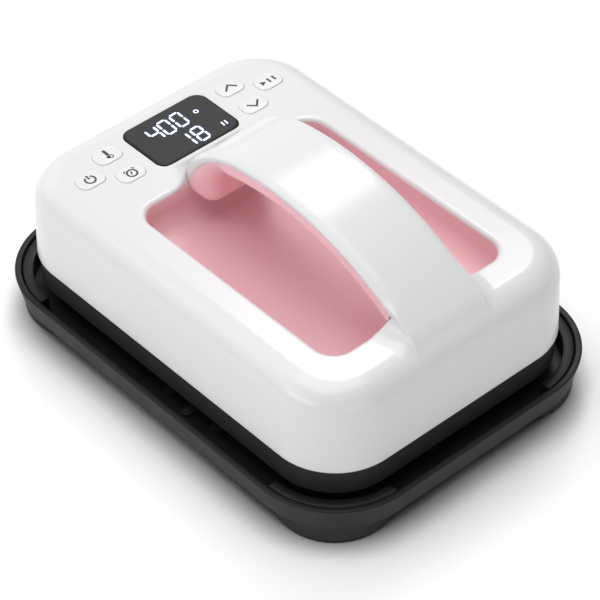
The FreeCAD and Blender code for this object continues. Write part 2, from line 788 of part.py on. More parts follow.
class StrapCurve:
    """The handle's crest in the YZ plane: front round, long arch, shoulder, toe."""

    def __init__(self, inset=0.0):
        peak_y = float(s.handle_peak_y)
        self.radius = float(s.crest_radius)
        self.centre_y = peak_y
        self.centre_z = float(CREST_TOP) - self.radius
        front_y = float(s.crest_front_y)
        lean = math.asin((front_y - peak_y) / self.radius)
        start = VECTOR(0, front_y, self.centre_z + self.radius * math.cos(lean))
        normal = VECTOR(0, math.sin(lean), math.cos(lean))
        face_y = -float(s.shell_length) / 2 + float(s.shell_lean)
        heel_radius = (front_y - face_y) / (1 + math.sin(lean))
        heel = start - normal * heel_radius
        shoulder_y = float(s.shoulder_y)
        big = float(s.shoulder_radius)
        turn = math.asin((shoulder_y - peak_y) / self.radius)
        bend = VECTOR(0, shoulder_y, self.centre_z + self.radius * math.cos(turn))
        shoulder = bend - VECTOR(0, math.sin(turn), math.cos(turn)) * big
        toe_radius = float(s.toe_radius)
        top = float(SHELL_TOP)
        fall = math.acos((top + toe_radius - shoulder.z) / (big + toe_radius))
        toe = shoulder + VECTOR(0, math.sin(fall), math.cos(fall)) * (big + toe_radius)
        joint = shoulder + VECTOR(0, math.sin(fall), math.cos(fall)) * big
        self.start, self.bend, self.joint = start, bend, joint
        self.arcs = [
            (heel, heel_radius - inset, -math.pi / 2, lean),
            (VECTOR(0, self.centre_y, self.centre_z), self.radius - inset, lean, turn),
            (shoulder, big - inset, turn, fall),
        ]
        self.toe = (toe, toe_radius + inset, fall + math.pi, math.pi)
        self.shoulder, self.shoulder_radius = shoulder, big
        self.heel, self.heel_radius = heel, heel_radius

    def height(self, y):
        """Height of the outside of the strap over y."""
        if y < self.start.y:
            return arc_top(y, self.heel.y, self.heel.z, self.heel_radius)
        if y < self.bend.y:
            return arc_top(y, self.centre_y, self.centre_z, self.radius)
        if y < self.joint.y:
            return arc_top(y, self.shoulder.y, self.shoulder.z, self.shoulder_radius)
        toe, radius = self.toe[0], float(s.toe_radius)
        return toe.z - math.sqrt(max(radius ** 2 - (min(y, toe.y) - toe.y) ** 2, 0))


def arc_edge(centre, radius, start, end, x):
    """An arc in a YZ plane; angles are measured from +Z towards +Y."""
    def point(angle):
        return VECTOR(x, centre.y + radius * math.sin(angle), centre.z + radius * math.cos(angle))
    return Part.Arc(point(start), point((start + end) / 2), point(end)).toShape()


def strap_blank(half_width, inset, floor):
    """A solid under the crest curve, drawn in by the inset and standing on the floor level."""
    curve = StrapCurve(inset)
    x = -half_width
    edges = [arc_edge(*arc, x) for arc in curve.arcs + [curve.toe]]
    first = edges[0].Vertexes[0].Point
    last = edges[-1].Vertexes[-1].Point
    corners = [last, VECTOR(x, last.y, floor), VECTOR(x, first.y, floor), first]
    edges += [Part.LineSegment(a, b).toShape() for a, b in zip(corners, corners[1:])]
    face = Part.Face(Part.Wire(Part.__sortEdges__(edges)))
    return face.extrude(VECTOR(2 * half_width, 0, 0))


def make_strap():
    solid = strap_blank(float(HALF_HANDLE), 0.0, float(SHELL_TOP - s.strap_root))
    side = float(HALF_HANDLE)
    crest_edges = []
    for edge in solid.Edges:
        middle = edge.valueAt((edge.FirstParameter + edge.LastParameter) / 2)
        along_side = abs(abs(middle.x) - side) < 0.01 and abs(edge.BoundBox.XLength) < 0.01
        curved = edge.Curve.TypeId == "Part::GeomCircle" and middle.z > float(SHELL_TOP) + 2
        if along_side and curved:
            crest_edges.append(edge)
    return shaped("strap", solid.makeFillet(float(s.strap_edge), crest_edges))


def ground(y):
    """Height of the shell's outside over y, beside the handle."""
    edge = float(s.shell_edge)
    bend_y = float(s.shell_length) / 2 - float(s.shell_lean) - edge
    if abs(y) < bend_y:
        return float(SHELL_TOP)
    return arc_top(abs(y), bend_y, float(SHELL_TOP) - edge, edge)


def flare_section(y, side, reach, curve):
    """Concave web between the strap's side and the shell's top, cut across at y."""
    top = ground(y)
    under = top - float(s.flare_bite)
    wall_x = float(HALF_HANDLE) - float(s.flare_lap)
    foot_x = wall_x + reach
    rise = max(curve.height(y) - float(s.flare_step) - top, float(s.flare_least))
    root_x = wall_x - float(s.flare_root)
    radius = (reach ** 2 + rise ** 2) / (2 * rise)
    half = math.asin(min(reach / radius, 1.0)) / 2
    middle = VECTOR((foot_x - radius * math.sin(half)) * side, y, top + radius * (1 - math.cos(half)))
    crest = VECTOR(wall_x * side, y, top + rise)
    foot = VECTOR(foot_x * side, y, top)
    arc = Part.Arc(crest, middle, foot).toShape()
    corners = [foot, VECTOR(foot_x * side, y, under), VECTOR(root_x * side, y, under)]
    corners += [VECTOR(root_x * side, y, top + rise), crest]
    lines = [Part.LineSegment(a, b).toShape() for a, b in zip(corners, corners[1:])]
    return Part.Wire([arc] + lines)


def make_flares():
    curve = StrapCurve()
    front = float(s.pocket_front_y)
    rear = float(s.pocket_rear_y)
    inset = float(s.flare_inset)
    front_end = curve.centre_y - math.sqrt(
        curve.radius ** 2 - (float(SHELL_TOP + s.flare_bite) - curve.centre_z) ** 2)
    pieces = []
    for side in (-1, 1):
        stations = [front + inset + (front_end - front - inset) * step / 4 for step in range(5)]
        reaches = [float(s.flare_front) * (1 - FLARE_NARROWING * step / 4) for step in range(5)]
        webs = [flare_section(y, side, reach, curve) for y, reach in zip(stations, reaches)]
        pieces.append(Part.makeLoft(webs, True, False))
        rear_end = curve.toe[0].y - inset
        stations = [rear - inset + (rear_end - rear + inset) * step / 3 for step in range(4)]
        reaches = [float(s.flare_rear) * (1 - FLARE_NARROWING * step / 3) for step in range(4)]
        webs = [flare_section(y, side, reach, curve) for y, reach in zip(stations, reaches)]
        pieces.append(Part.makeLoft(webs, True, False))
    return [shaped(f"flare{number}", piece) for number, piece in enumerate(pieces)]


POCKET_LENGTH = s.pocket_rear_y - s.pocket_front_y
POCKET_Y = (s.pocket_rear_y + s.pocket_front_y) / 2
POCKET_SIZE = (s.pocket_width, POCKET_LENGTH, s.pocket_corner)


def rounded_wire(half_width, front, rear, corner, z):
    """A rounded rectangle as a wire, from x and y limits."""
    middles = [(half_width - corner, rear - corner), (corner - half_width, rear - corner),
               (corner - half_width, front + corner), (half_width - corner, front + corner)]
    edges = []
    ends = []
    for number, (x, y) in enumerate(middles):
        points = []
        for step in range(3):
            angle = math.radians(90 * number + 45 * step)
            points.append(VECTOR(x + corner * math.cos(angle), y + corner * math.sin(angle), z))
        edges.append(Part.Arc(*points).toShape())
        ends.append((points[0], points[2]))
    for number in range(4):
        edges.append(Part.LineSegment(ends[number][1], ends[(number + 1) % 4][0]).toShape())
    return Part.Wire(Part.__sortEdges__(edges))


def pocket_space(shrink, bottom):
    """The open space of the pocket: straight below the lip, flared at it, drafted above."""
    half = float(s.pocket_width) / 2 - shrink
    front = float(s.pocket_front_y) + shrink
    rear = float(s.pocket_rear_y) - shrink
    corner = float(s.pocket_corner) - shrink
    lip = float(s.pocket_lip)
    top = float(SHELL_TOP)
    rise = float(s.handle_rise) + WELL_CLEAR
    side, ahead, behind = [
        rise * math.tan(math.radians(float(angle)))
        for angle in (s.pocket_side_draft, s.pocket_front_draft, s.pocket_rear_draft)]
    wires = [
        rounded_wire(half, front, rear, corner, bottom),
        rounded_wire(half, front, rear, corner, top - lip),
        rounded_wire(half + lip, front - lip, rear + lip, corner + lip, top),
        rounded_wire(
            half + lip + side, front - lip - ahead, rear + lip + behind, corner + lip + side, top + rise),
    ]
    return Part.makeLoft(wires, True, True)


def band_arcs(offset):
    """Front and rear arcs of the strap's lower edge, moved down by the offset."""
    radius = float(s.band_radius)
    peak = float(CREST_TOP) - float(s.band_depth)
    centre = VECTOR(0, float(s.band_peak_y), peak - radius)
    turn = math.asin((float(s.band_rear_y) - centre.y) / radius)
    small = float(s.band_rear_radius)
    meet = centre + VECTOR(0, math.sin(turn), math.cos(turn)) * radius
    rear = meet - VECTOR(0, math.sin(turn), math.cos(turn)) * small
    return (centre, radius - offset, math.radians(-46), turn), (rear, small - offset, turn, math.radians(84))


def above_band():
    """Everything over the band line and between the strap's sides."""
    x = -float(HALF_HANDLE)
    edges = [arc_edge(*arc, x) for arc in band_arcs(0.0)]
    first = edges[0].Vertexes[0].Point
    last = edges[-1].Vertexes[-1].Point
    high = float(CREST_TOP) + WELL_CLEAR
    corners = [last, VECTOR(x, last.y + WELL_CLEAR, last.z), VECTOR(x, last.y + WELL_CLEAR, high)]
    corners += [VECTOR(x, first.y - WELL_CLEAR, high), VECTOR(x, first.y - WELL_CLEAR, first.z), first]
    edges += [Part.LineSegment(a, b).toShape() for a, b in zip(corners, corners[1:])]
    return Part.Face(Part.Wire(Part.__sortEdges__(edges))).extrude(VECTOR(2 * float(HALF_HANDLE), 0, 0))


BUTTONS = [
    ("power", -s.outer_button_x, s.outer_button_y),
    ("temperature", -s.inner_button_x, s.rear_button_y),
    ("timer", -s.inner_button_x, s.front_button_y),
    ("up", s.inner_button_x, s.rear_button_y),
    ("down", s.inner_button_x, s.front_button_y),
    ("start", s.outer_button_x, s.outer_button_y),
]
BOARD_BOSS_X = s.control_board_width / 2 - s.board_boss_inset_x
BOARD_BOSS_Y = s.control_board_length / 2 - s.board_boss_inset_y
BOARD_POSTS = [(x, s.lens_y + y) for x, y in four(BOARD_BOSS_X, BOARD_BOSS_Y)]
EARS = [
    (s.liner_ear_x, s.liner_ear_rear_y), (-s.liner_ear_x, s.liner_ear_rear_y),
    (-s.liner_ear_x, s.liner_ear_front_y), (s.liner_ear_x, s.liner_ear_front_y),
]
EAR_TOP = LINER_TOP - s.liner_ear_drop


def make_upper_shell():
    outer = tapered_slab(
        "shell_outer", s.shell_width, s.shell_length, s.shell_corner, -s.shell_lean,
        SHELL_BASE, s.shell_height)
    round_level(outer, SHELL_TOP, s.shell_edge)
    wall = s.shell_wall * 2
    inner = tapered_slab(
        "shell_void", s.shell_width - wall, s.shell_length - wall, s.shell_corner - s.shell_wall,
        -s.shell_lean, SHELL_BASE, s.shell_height - s.shell_wall)
    round_level(inner, CEILING, s.shell_edge - s.shell_wall)
    outside = fuse("shell_outside", [outer, make_strap()] + make_flares())
    space = pocket_space(0.0, float(CEILING - s.boss_overlap)).cut(above_band())
    opened = cut("shell_opened", outside, [shaped("pocket_opening", space)])
    channel = shaped(
        "strap_channel",
        strap_blank(float(HALF_HANDLE - s.shell_wall), float(s.shell_wall), float(SHELL_TOP - s.strap_root)))
    rabbet = s.liner_flange * 2
    bed = slab(
        "flange_bed", s.pocket_width + rabbet, POCKET_LENGTH + rabbet, s.pocket_corner + s.liner_flange,
        CEILING, LINER_TOP - CEILING, 0, POCKET_Y)
    hollow = cut("shell_hollow", opened, [inner, channel, bed])
    bosses = rods("corner_boss", POSTS, s.post_radius, SHELL_TOP - s.shell_edge - DECK_TOP, DECK_TOP)
    bosses += rods(
        "board_boss", BOARD_POSTS, s.board_boss_radius, CEILING - BOARD_TOP + s.boss_overlap, BOARD_TOP)
    bosses += rods("ear_boss", EARS, s.board_boss_radius, CEILING - EAR_TOP + s.boss_overlap, EAR_TOP)
    solid = fuse("shell_solid", [hollow] + bosses)
    tools = rods(
        "corner_pilot", POSTS, s.housing_screw_radius + s.screw_clearance,
        s.housing_screw_length - (DECK_TOP - SKIRT_BASE - s.skirt_lip) + s.thread_runout, DECK_TOP)
    pilot = s.board_screw_radius + s.screw_clearance
    tools += rods("board_pilot", BOARD_POSTS, pilot, CEILING - BOARD_TOP, BOARD_TOP)
    tools += rods("ear_pilot", EARS, pilot, CEILING - EAR_TOP, EAR_TOP)
    gap = s.lens_clearance * 2
    tools.append(slab(
        "lens_seat_cut", s.lens_width + gap, s.lens_length + gap, s.lens_corner,
        SHELL_TOP - s.lens_seat, s.lens_seat, 0, s.lens_y))
    ledge = s.lens_ledge * 2
    tools.append(slab(
        "lens_window", s.lens_width - ledge, s.lens_length - ledge, s.lens_corner - s.lens_ledge,
        CEILING - s.boss_overlap, s.shell_wall + s.boss_overlap, 0, s.lens_y))
    room = s.button_clearance * 2
    for name, x, y in BUTTONS:
        tools.append(slab(
            f"{name}_hole", s.button_width + room, s.button_length + room,
            s.button_corner + s.button_clearance, CEILING, s.shell_wall, x, y))
    tools.append(rod(
        "gland_hole", s.gland_neck + s.gland_clearance, s.shell_wall * 4,
        0, s.shell_length / 2 - s.shell_wall * 2.5, GLAND_LEVEL, BACKWARD))
    node("upper_shell", cut("upper_shell_body", solid, tools))


def make_pocket_liner():
    """The bowl under the handle, with a flange and four screwed ears."""
    wall = s.liner_wall
    depth = LINER_TOP - POCKET_FLOOR
    outer = slab(
        "liner_outer", s.pocket_width + wall * 2, POCKET_LENGTH + wall * 2, s.pocket_corner + wall,
        POCKET_FLOOR - wall, depth + wall, 0, POCKET_Y)
    round_level(outer, POCKET_FLOOR - wall, s.liner_fillet + wall)
    inner = slab("liner_inner", *POCKET_SIZE, POCKET_FLOOR, depth, 0, POCKET_Y)
    round_level(inner, POCKET_FLOOR, s.liner_fillet)
    reach = (s.liner_flange - s.flange_clearance) * 2
    flange = slab(
        "liner_flange_ring", s.pocket_width + reach, POCKET_LENGTH + reach, s.pocket_corner + reach / 2,
        LINER_TOP - wall, wall, 0, POCKET_Y)
    ears = []
    for number, (x, y) in enumerate(EARS):
        inward = -1 if float(x) > 0 else 1
        arm = x + s.liner_ear_size * 0.3 * inward
        ears.append(block(
            f"ear{number}", s.liner_ear_size * LINER_ARM, s.liner_ear_size, s.liner_wall,
            arm, y, EAR_TOP - s.liner_wall))
    solid = fuse("liner_solid", [outer, flange] + ears)
    holes = rods(
        "ear_hole", EARS, s.board_screw_radius + s.screw_clearance, s.liner_wall, EAR_TOP - s.liner_wall)
    levels = [(-1, s.pocket_front_y - wall * 1.5), (1, s.pocket_rear_y - wall * 0.5)]
    for side, y in levels:
        for x in (-s.handle_width / 4, s.handle_width / 4):
            holes.append(rod(
                f"grip_screw_hole{side + 1}{float(x) > 0:d}", s.board_screw_radius + s.screw_clearance,
                wall * 2, x, y, GRIP_SCREW_LEVEL, BACKWARD))
    node("pocket_liner", cut("pocket_liner_body", solid, [inner] + holes))
    length = s.liner_wall + s.liner_screw_bite
    screws("liner_screws", EARS, s.board_screw_radius, length, EAR_TOP - s.liner_wall, UP)


GRIP_SCREW_LEVEL = LINER_TOP - s.grip_screw_drop


def grip_profile():
    """Side outline of the finger arch and the rear nose, tall enough to be trimmed to the strap."""
    x = -float(HALF_HANDLE)
    front = band_arcs(0.0)[0]
    centre, radius = front[0], front[1] - float(s.grip_depth)
    throat = float(s.grip_throat)
    nose_y = float(s.nose_front_y)
    nose_base = float(POCKET_FLOOR) + float(s.nose_clearance)
    turn = math.asin((nose_y - throat - centre.y) / (radius - throat))
    throat_centre = centre + VECTOR(0, math.sin(turn), math.cos(turn)) * (radius - throat)
    lip = float(s.grip_edge + s.grip_lip_gap)
    lip_centre = VECTOR(0, nose_y + lip, nose_base + lip)
    edges = [
        arc_edge(centre, radius, front[2], turn, x),
        arc_edge(throat_centre, throat, turn, math.pi / 2, x),
        Part.LineSegment(VECTOR(x, nose_y, throat_centre.z), VECTOR(x, nose_y, lip_centre.z)).toShape(),
        arc_edge(lip_centre, lip, -math.pi / 2, -math.pi, x),
    ]
    start = edges[0].Vertexes[0].Point
    far_y = float(s.pocket_rear_y) + WELL_CLEAR
    high = float(CREST_TOP) + WELL_CLEAR
    corners = [VECTOR(x, lip_centre.y, nose_base), VECTOR(x, far_y, nose_base), VECTOR(x, far_y, high)]
    corners += [VECTOR(x, start.y, high), start]
    edges += [Part.LineSegment(a, b).toShape() for a, b in zip(corners, corners[1:])]
    return Part.Face(Part.Wire(Part.__sortEdges__(edges)))


def make_handle_grip():
    side = float(HALF_HANDLE)
    solid = grip_profile().extrude(VECTOR(2 * side, 0, 0))
    nose_base = float(POCKET_FLOOR) + float(s.nose_clearance)
    lower = []
    for edge in solid.Edges:
        middle = edge.valueAt((edge.FirstParameter + edge.LastParameter) / 2)
        flat = abs(edge.BoundBox.XLength) < 0.01
        curved = edge.Curve.TypeId == "Part::GeomCircle"
        bottom = abs(middle.z - nose_base) < 0.01
        front_of_nose = abs(middle.y - float(s.nose_front_y)) < 0.01
        if flat and (curved or bottom or front_of_nose):
            lower.append(edge)
    solid = solid.makeFillet(float(s.grip_edge), lower)
    solid = solid.common(pocket_space(float(s.grip_clearance), float(POCKET_FLOOR)))
    node("handle_grip", shaped("handle_grip_body", solid.cut(above_band())))


# ------------------------------------------------------ display and buttons

def make_display():
    seat = slab(
        "lens_base", s.lens_width, s.lens_length, s.lens_corner,
        SHELL_TOP - s.lens_seat, s.lens_seat, 0, s.lens_y)
    crown = tapered_slab(
        "lens_crown", s.lens_width, s.lens_length, s.lens_corner, -s.lens_bevel,
        SHELL_TOP, s.lens_rise, 0, s.lens_y)
    node("display_lens", fuse("display_lens_body", [seat, crown]))
    inset = (s.lens_ledge + s.module_gap) * 2
    top = SHELL_TOP - s.lens_seat - s.module_gap
    node("display_module", slab(
        "display_module_body", s.lens_width - inset, s.lens_length - inset, s.lens_corner - inset / 2,
        top - s.module_thickness, s.module_thickness, 0, s.lens_y))


def make_buttons():
    stem_top = FLANGE_TOP - s.button_flange
    plunger_top = BOARD_TOP + s.switch_height + s.button_travel + s.button_flange_gap * 2
    margin = s.button_flange * 2
    for name, x, y in BUTTONS:
        cap = slab(
            f"{name}_cap", s.button_width, s.button_length, s.button_corner,
            FLANGE_TOP, SHELL_TOP + s.button_rise - FLANGE_TOP, x, y)
        round_level(cap, SHELL_TOP + s.button_rise, s.button_edge)
        flange = slab(
            f"{name}_flange", s.button_width + margin, s.button_length + margin,
            s.button_corner + s.button_flange, stem_top, s.button_flange, x, y)
        stem = rod(f"{name}_stem", s.button_stem, stem_top - plunger_top, x, y, plunger_top)
        node(f"{name}_button", fuse(f"{name}_button_body", [cap, flange, stem]))
        foot = BOARD_TOP + s.switch_height - s.button_travel
        node(f"{name}_plunger", rod(f"{name}_plunger_pin", s.plunger_radius, plunger_top - foot, x, y, foot))


def make_control_board():
    board = slab(
        "control_board_sheet", s.control_board_width, s.control_board_length, s.board_corner,
        BOARD_TOP - s.board_thickness, s.board_thickness, 0, s.lens_y)
    holes = rods(
        "control_board_hole", BOARD_POSTS, s.board_screw_radius + s.screw_clearance,
        s.board_thickness, BOARD_TOP - s.board_thickness)
    node("control_board", cut("control_board_body", board, holes))
    screws(
        "board_screws", BOARD_POSTS, s.board_screw_radius, s.board_thickness + s.board_screw_bite,
        BOARD_TOP - s.board_thickness, UP)
    bodies = []
    for name, x, y in BUTTONS:
        case = block(f"{name}_switch", s.switch_size, s.switch_size, s.switch_height, x, y, BOARD_TOP)
        depth = s.button_travel * 2 + s.button_flange_gap
        level = BOARD_TOP + s.switch_height - depth
        well = rod(f"{name}_well", s.plunger_radius + s.screw_clearance, depth, x, y, level)
        bodies.append(cut(f"{name}_switch_case", case, [well]))
    node("tact_switches", group("tact_switch_set", bodies))
    under = BOARD_TOP - s.board_thickness
    node("control_chip", block(
        "chip_case", s.chip_size, s.chip_size, s.chip_height, 0, s.lens_y, under - s.chip_height))
    x = s.control_board_width / 2 - s.buzzer_inset
    case = rod("buzzer_case", s.buzzer_radius, s.buzzer_height, x, s.lens_y, under - s.buzzer_height)
    port_radius = s.plunger_radius / 2
    port = rod("buzzer_port", port_radius, s.buzzer_height / 2, x, s.lens_y, under - s.buzzer_height)
    node("buzzer", cut("buzzer_body", case, [port]))


# --------------------------------------------------------------- power side

def make_power_board():
    board = slab(
        "power_board_sheet", s.power_board_width, s.power_board_length, s.board_corner,
        POWER_BOARD_BASE, s.board_thickness, 0, s.power_board_y)
    holes = rods(
        "power_board_hole", POWER_POSTS, s.board_screw_radius + s.screw_clearance,
        s.board_thickness, POWER_BOARD_BASE)
    node("power_board", cut("power_board_body", board, holes))
    screws(
        "power_board_screws", POWER_POSTS, s.board_screw_radius, s.board_thickness + s.power_screw_bite,
        POWER_BOARD_TOP, DOWN)
    left = -s.power_board_width / 4
    right = s.power_board_width / 4
    near = s.power_board_y - s.power_board_length / 5
    far = s.power_board_y + s.power_board_length / 4
    node("triac", block(
        "triac_case", s.triac_width, s.triac_depth, s.triac_height, left, near, POWER_BOARD_TOP))
    sink_y = near + s.triac_depth / 2 + s.sink_depth / 2
    plate = block("sink_block", s.sink_width, s.sink_depth, s.sink_height, left, sink_y, POWER_BOARD_TOP)
    slots = []
    pitch = (s.sink_width - s.sink_fin) / 5
    for number in range(5):
        x = left - s.sink_width / 2 + s.sink_fin + pitch * number + (pitch - s.sink_fin) / 2
        slots.append(block(
            f"sink_slot{number}", pitch - s.sink_fin, s.sink_depth, s.sink_height,
            x, sink_y + s.sink_fin * 2, POWER_BOARD_TOP))
    node("heat_sink", cut("heat_sink_body", plate, slots))
    node("mains_capacitor", slab(
        "capacitor_case", s.capacitor_width, s.capacitor_depth, s.sink_fin, POWER_BOARD_TOP,
        s.capacitor_height, right, near))
    node("mains_fuse", rod(
        "fuse_tube", s.fuse_radius, s.fuse_length, right - s.fuse_length / 2,
        s.power_board_y, POWER_BOARD_TOP + s.fuse_radius, RIGHTWARD))
    case = block("terminal_case", s.block_width, s.block_depth, s.block_height, 0, far, POWER_BOARD_TOP)
    pitch = s.block_width / 3
    ports = []
    for number in (-1, 0, 1):
        ports.append(rod(
            f"terminal_port{number + 1}", s.fuse_radius, s.block_depth, pitch * number,
            far - s.block_depth / 2, POWER_BOARD_TOP + s.block_height / 2, BACKWARD))
    node("terminal_block", cut("terminal_block_body", case, ports))


def make_cord_entry():
    """Bushing in the rear wall, and the clamp bar behind it that holds a cord."""
    wall_back = REAR_FACE - s.shell_wall - s.gland_clearance
    face = REAR_FACE + s.gland_clearance * 3
    level = GLAND_LEVEL
    neck = rod("gland_neck_tube", s.gland_neck, face - wall_back + s.gland_inner * 2,
               0, wall_back - s.gland_inner, level, BACKWARD)
    collar = rod("gland_collar", s.gland_flange, s.gland_inner / 1.5, 0, face, level, BACKWARD)
    nose = doc.addObject("Part::Cone", "gland_cone")
    nose.Placement = FreeCAD.Placement(VECTOR(), BACKWARD)
    bind(nose, Radius1=s.gland_neck, Radius2=s.gland_bore * 1.4, Height=s.gland_nose)
    move_to(nose, 0, face + s.gland_inner / 1.5, level)
    lock = rod("gland_lock", s.gland_neck + s.gland_lock, s.gland_inner * 0.8, 0,
               wall_back - s.gland_inner, level, BACKWARD)
    solid = fuse("gland_solid", [neck, collar, nose, lock])
    bore = rod("gland_bore_tool", s.gland_bore, s.shell_length / 4, 0,
               wall_back - s.gland_inner, level, BACKWARD)
    node("cord_gland", cut("cord_gland_body", solid, [bore]))
    bar = block(
        "clamp_bar_block", s.cord_clamp_width, s.cord_clamp_depth, s.gland_bore + s.cord_clamp_height,
        0, s.cord_clamp_y, level)
    height = s.gland_bore + s.cord_clamp_height
    holes = rods("clamp_hole", CLAMP_PILOTS, s.board_screw_radius + s.screw_clearance, height, level)
    node("cord_clamp", cut("cord_clamp_body", bar, [cord_space("clamp_groove")] + holes))
    length = height + s.clamp_screw_bite
    screws("clamp_screws", CLAMP_PILOTS, s.board_screw_radius, length, level + height, DOWN)


def make_all():
    make_rubber_feet()
    make_base_tray()
    make_rest_pad()
    make_heating_plate()
    make_heating_element()
    make_blanket_and_shield()
    make_sensors()
    make_plate_fixings()
    make_lower_housing()
    make_upper_shell()
    make_pocket_liner()
    make_handle_grip()
    make_display()
    make_buttons()
    make_control_board()
    make_power_board()
    make_cord_entry()


def check_and_export():
    doc.recompute()
    faults = []
    for thing in doc.Objects:
        if "Invalid" in thing.State or "Error" in thing.State:
            faults.append(f"{thing.Label} did not build")
    for thing in NODES:
        if thing.Shape.isNull() or not thing.Shape.isValid() or not thing.Shape.Solids:
            faults.append(f"{thing.Label} has no valid solid")
    if faults:
        raise RuntimeError("; ".join(faults))
    os.makedirs("parts", exist_ok=True)
    for thing in NODES:
        thing.Shape.exportStep(f"parts/{thing.Label}.step")
        box = thing.Shape.BoundBox
        print(f"{thing.Label:22s} solids {len(thing.Shape.Solids):2d} volume {thing.Shape.Volume:10.1f} "
              f"z {box.ZMin:7.2f} to {box.ZMax:7.2f}")


make_all()
check_and_export()
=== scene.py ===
"""Looks of the mini handheld heat press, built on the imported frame.

Lengths named _MM and all form functions are in millimetres; meshes are made in metres.
+X is the right of someone who holds the handle, +Y points to the display end, +Z is up.
"""
import bpy
import json
import math
import numpy as np
from mathutils import Matrix, Quaternion, Vector


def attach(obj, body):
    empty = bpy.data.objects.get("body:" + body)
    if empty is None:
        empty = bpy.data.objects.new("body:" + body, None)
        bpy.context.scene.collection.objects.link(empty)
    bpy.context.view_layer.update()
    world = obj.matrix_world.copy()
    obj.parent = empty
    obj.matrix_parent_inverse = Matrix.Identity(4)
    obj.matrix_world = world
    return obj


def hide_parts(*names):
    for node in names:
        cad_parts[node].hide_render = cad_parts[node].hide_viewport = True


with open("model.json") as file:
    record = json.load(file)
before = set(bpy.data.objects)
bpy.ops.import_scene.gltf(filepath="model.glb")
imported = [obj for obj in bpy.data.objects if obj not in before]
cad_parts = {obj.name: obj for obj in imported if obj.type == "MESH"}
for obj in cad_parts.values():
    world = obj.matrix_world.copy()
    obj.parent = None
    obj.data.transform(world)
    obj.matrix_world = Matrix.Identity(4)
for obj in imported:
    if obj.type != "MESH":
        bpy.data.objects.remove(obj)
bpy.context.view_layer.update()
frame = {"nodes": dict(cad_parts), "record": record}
nodes = frame["nodes"]
MM = 0.001

# ------------------------------------------------------------------- sizes, mm

SHELL_BASE = 32.5
SHELL_TOP = 72.1
SHELL_HALF_WIDTH = 72.0
SHELL_HALF_LENGTH = 102.0
SHELL_CORNER = 29.5
SHELL_SIDE_LEAN = 0.7
SHELL_END_LEAN = 1.8
SHELL_CORNER_LEAN = 1.2
SHELL_EDGE = 11.9
SHELL_WALL = 2.4
SHELL_FOOT_EDGE = 0.4

STRAP_HALF_WIDTH = 19.7
STRAP_EDGE = 0.6
STRAP_ROOT_Y = (-84.0, -73.0)
CROWN_START = 14.3
CROWN_SLOPE = 0.05
CREASE_X = 17.1
CREASE_DEPTH = 0.22
CREASE_WIDTH = 0.24
BEVEL_SLOPE = 0.55
# Height over the shell at which the crown, crease and bevel are at full depth.
FULL_DETAIL_RISE = 8.0
# The strap's outside line: arc centres as (y, z), radii, and the y where an arc ends or starts.
CREST_CENTRE = (-8.3, -34.9)
CREST_RADIUS = 137.79
CREST_END_Y = 12.0
SHOULDER_CENTRE = (4.62, 51.94)
SHOULDER_RADIUS = 50.0
HEEL_START_Y = -88.4
HEEL_RADIUS = 30.0
# Width of the soft seam at the strap's front foot, and where it fades out.
FOOT_MELT = 1.6
FOOT_MELT_Y = (-96.0, -82.0)
FOOT_MELT_Z = (60.0, 67.0)
FOOT_LEAST_MELT = 1e-4
TOE_RADIUS = 8.0
# The strap's lower edge, where the grip begins.
BAND_CENTRE = (-10.8, -27.2)
BAND_RADIUS = 126.7
BAND_END_Y = 16.0
BAND_REAR_CENTRE = (8.39, 61.44)
BAND_REAR_RADIUS = 36.0
BAND_EDGE = 0.5
ARCH_FRONT = -84.0
ARCH_REAR = 48.0

# Flares between the strap's sides and the shell's top.
FRONT_REACH = 10.9
FRONT_REACH_Y = -77.0
FRONT_REACH_SLOPE = 0.16
WEB_LEAST_REACH = 5.6
WEB_REACH_SHARE = 0.61
WEB_TALLEST = 14.0
WEB_LAP = 0.5
WEB_STEP = 0.4
WEB_LEAST_RISE = 1e-3

POCKET_HALF_WIDTH = 48.0
POCKET_FRONT = -76.8
POCKET_REAR = 42.8
POCKET_CORNER = 9.5
POCKET_LIP = 2.0
POCKET_CUT = 70.4
POCKET_FLOOR = 55.0
POCKET_FRONT_SLOPE = 0.33
POCKET_REAR_SLOPE = 0.25
POCKET_SIDE_SLOPE = 0.20
LINER_TOP = 70.55
LINER_WALL = 1.8
LINER_INSET = 0.07
LINER_FLANGE = 2.4
LINER_FILLET = 8.0
LINER_LIP = 0.2
LINER_LIP_CUT = 0.06
LINER_FILLET_LEAD = 1.0

GRIP_RADIUS = 120.5
GRIP_EDGE = 3.2
GRIP_THROAT = 10.0
NOSE_EDGE = 8.0
NOSE_START_Y = 17.0
NOSE_FULL_Y = 27.0
GRIP_GAP = 0.12
GRIP_TUCK = 0.04
GRIP_BORDER = 0.3
NOSE_FRONT = 29.1
NOSE_BASE = 64.3
NOSE_CORNER = 7.0

LENS_Y = 71.2
LENS_HALF_WIDTH = 22.2
LENS_HALF_LENGTH = 15.1
LENS_CORNER = 5.5
LENS_SEAT = 1.2
LENS_RISE = 0.7
LENS_BEVEL = 1.2
# Width of the dark band on the window's edge, painted shade.
LENS_SHADE_BAND = 0.5
LENS_GAP = 0.2
LENS_SEAT_GAP = 0.3
# Inset and height over the shell's top, up the window's border.
LENS_BORDER = ((0.0, 0.05), (0.12, 0.2), (LENS_SHADE_BAND, 0.32))
# Height up to which the window's faces get the painted shade.
LENS_SHADE_BAND_TOP = 0.33
LENS_ROLL = 0.1
LENS_ROLL_DROP = 0.06

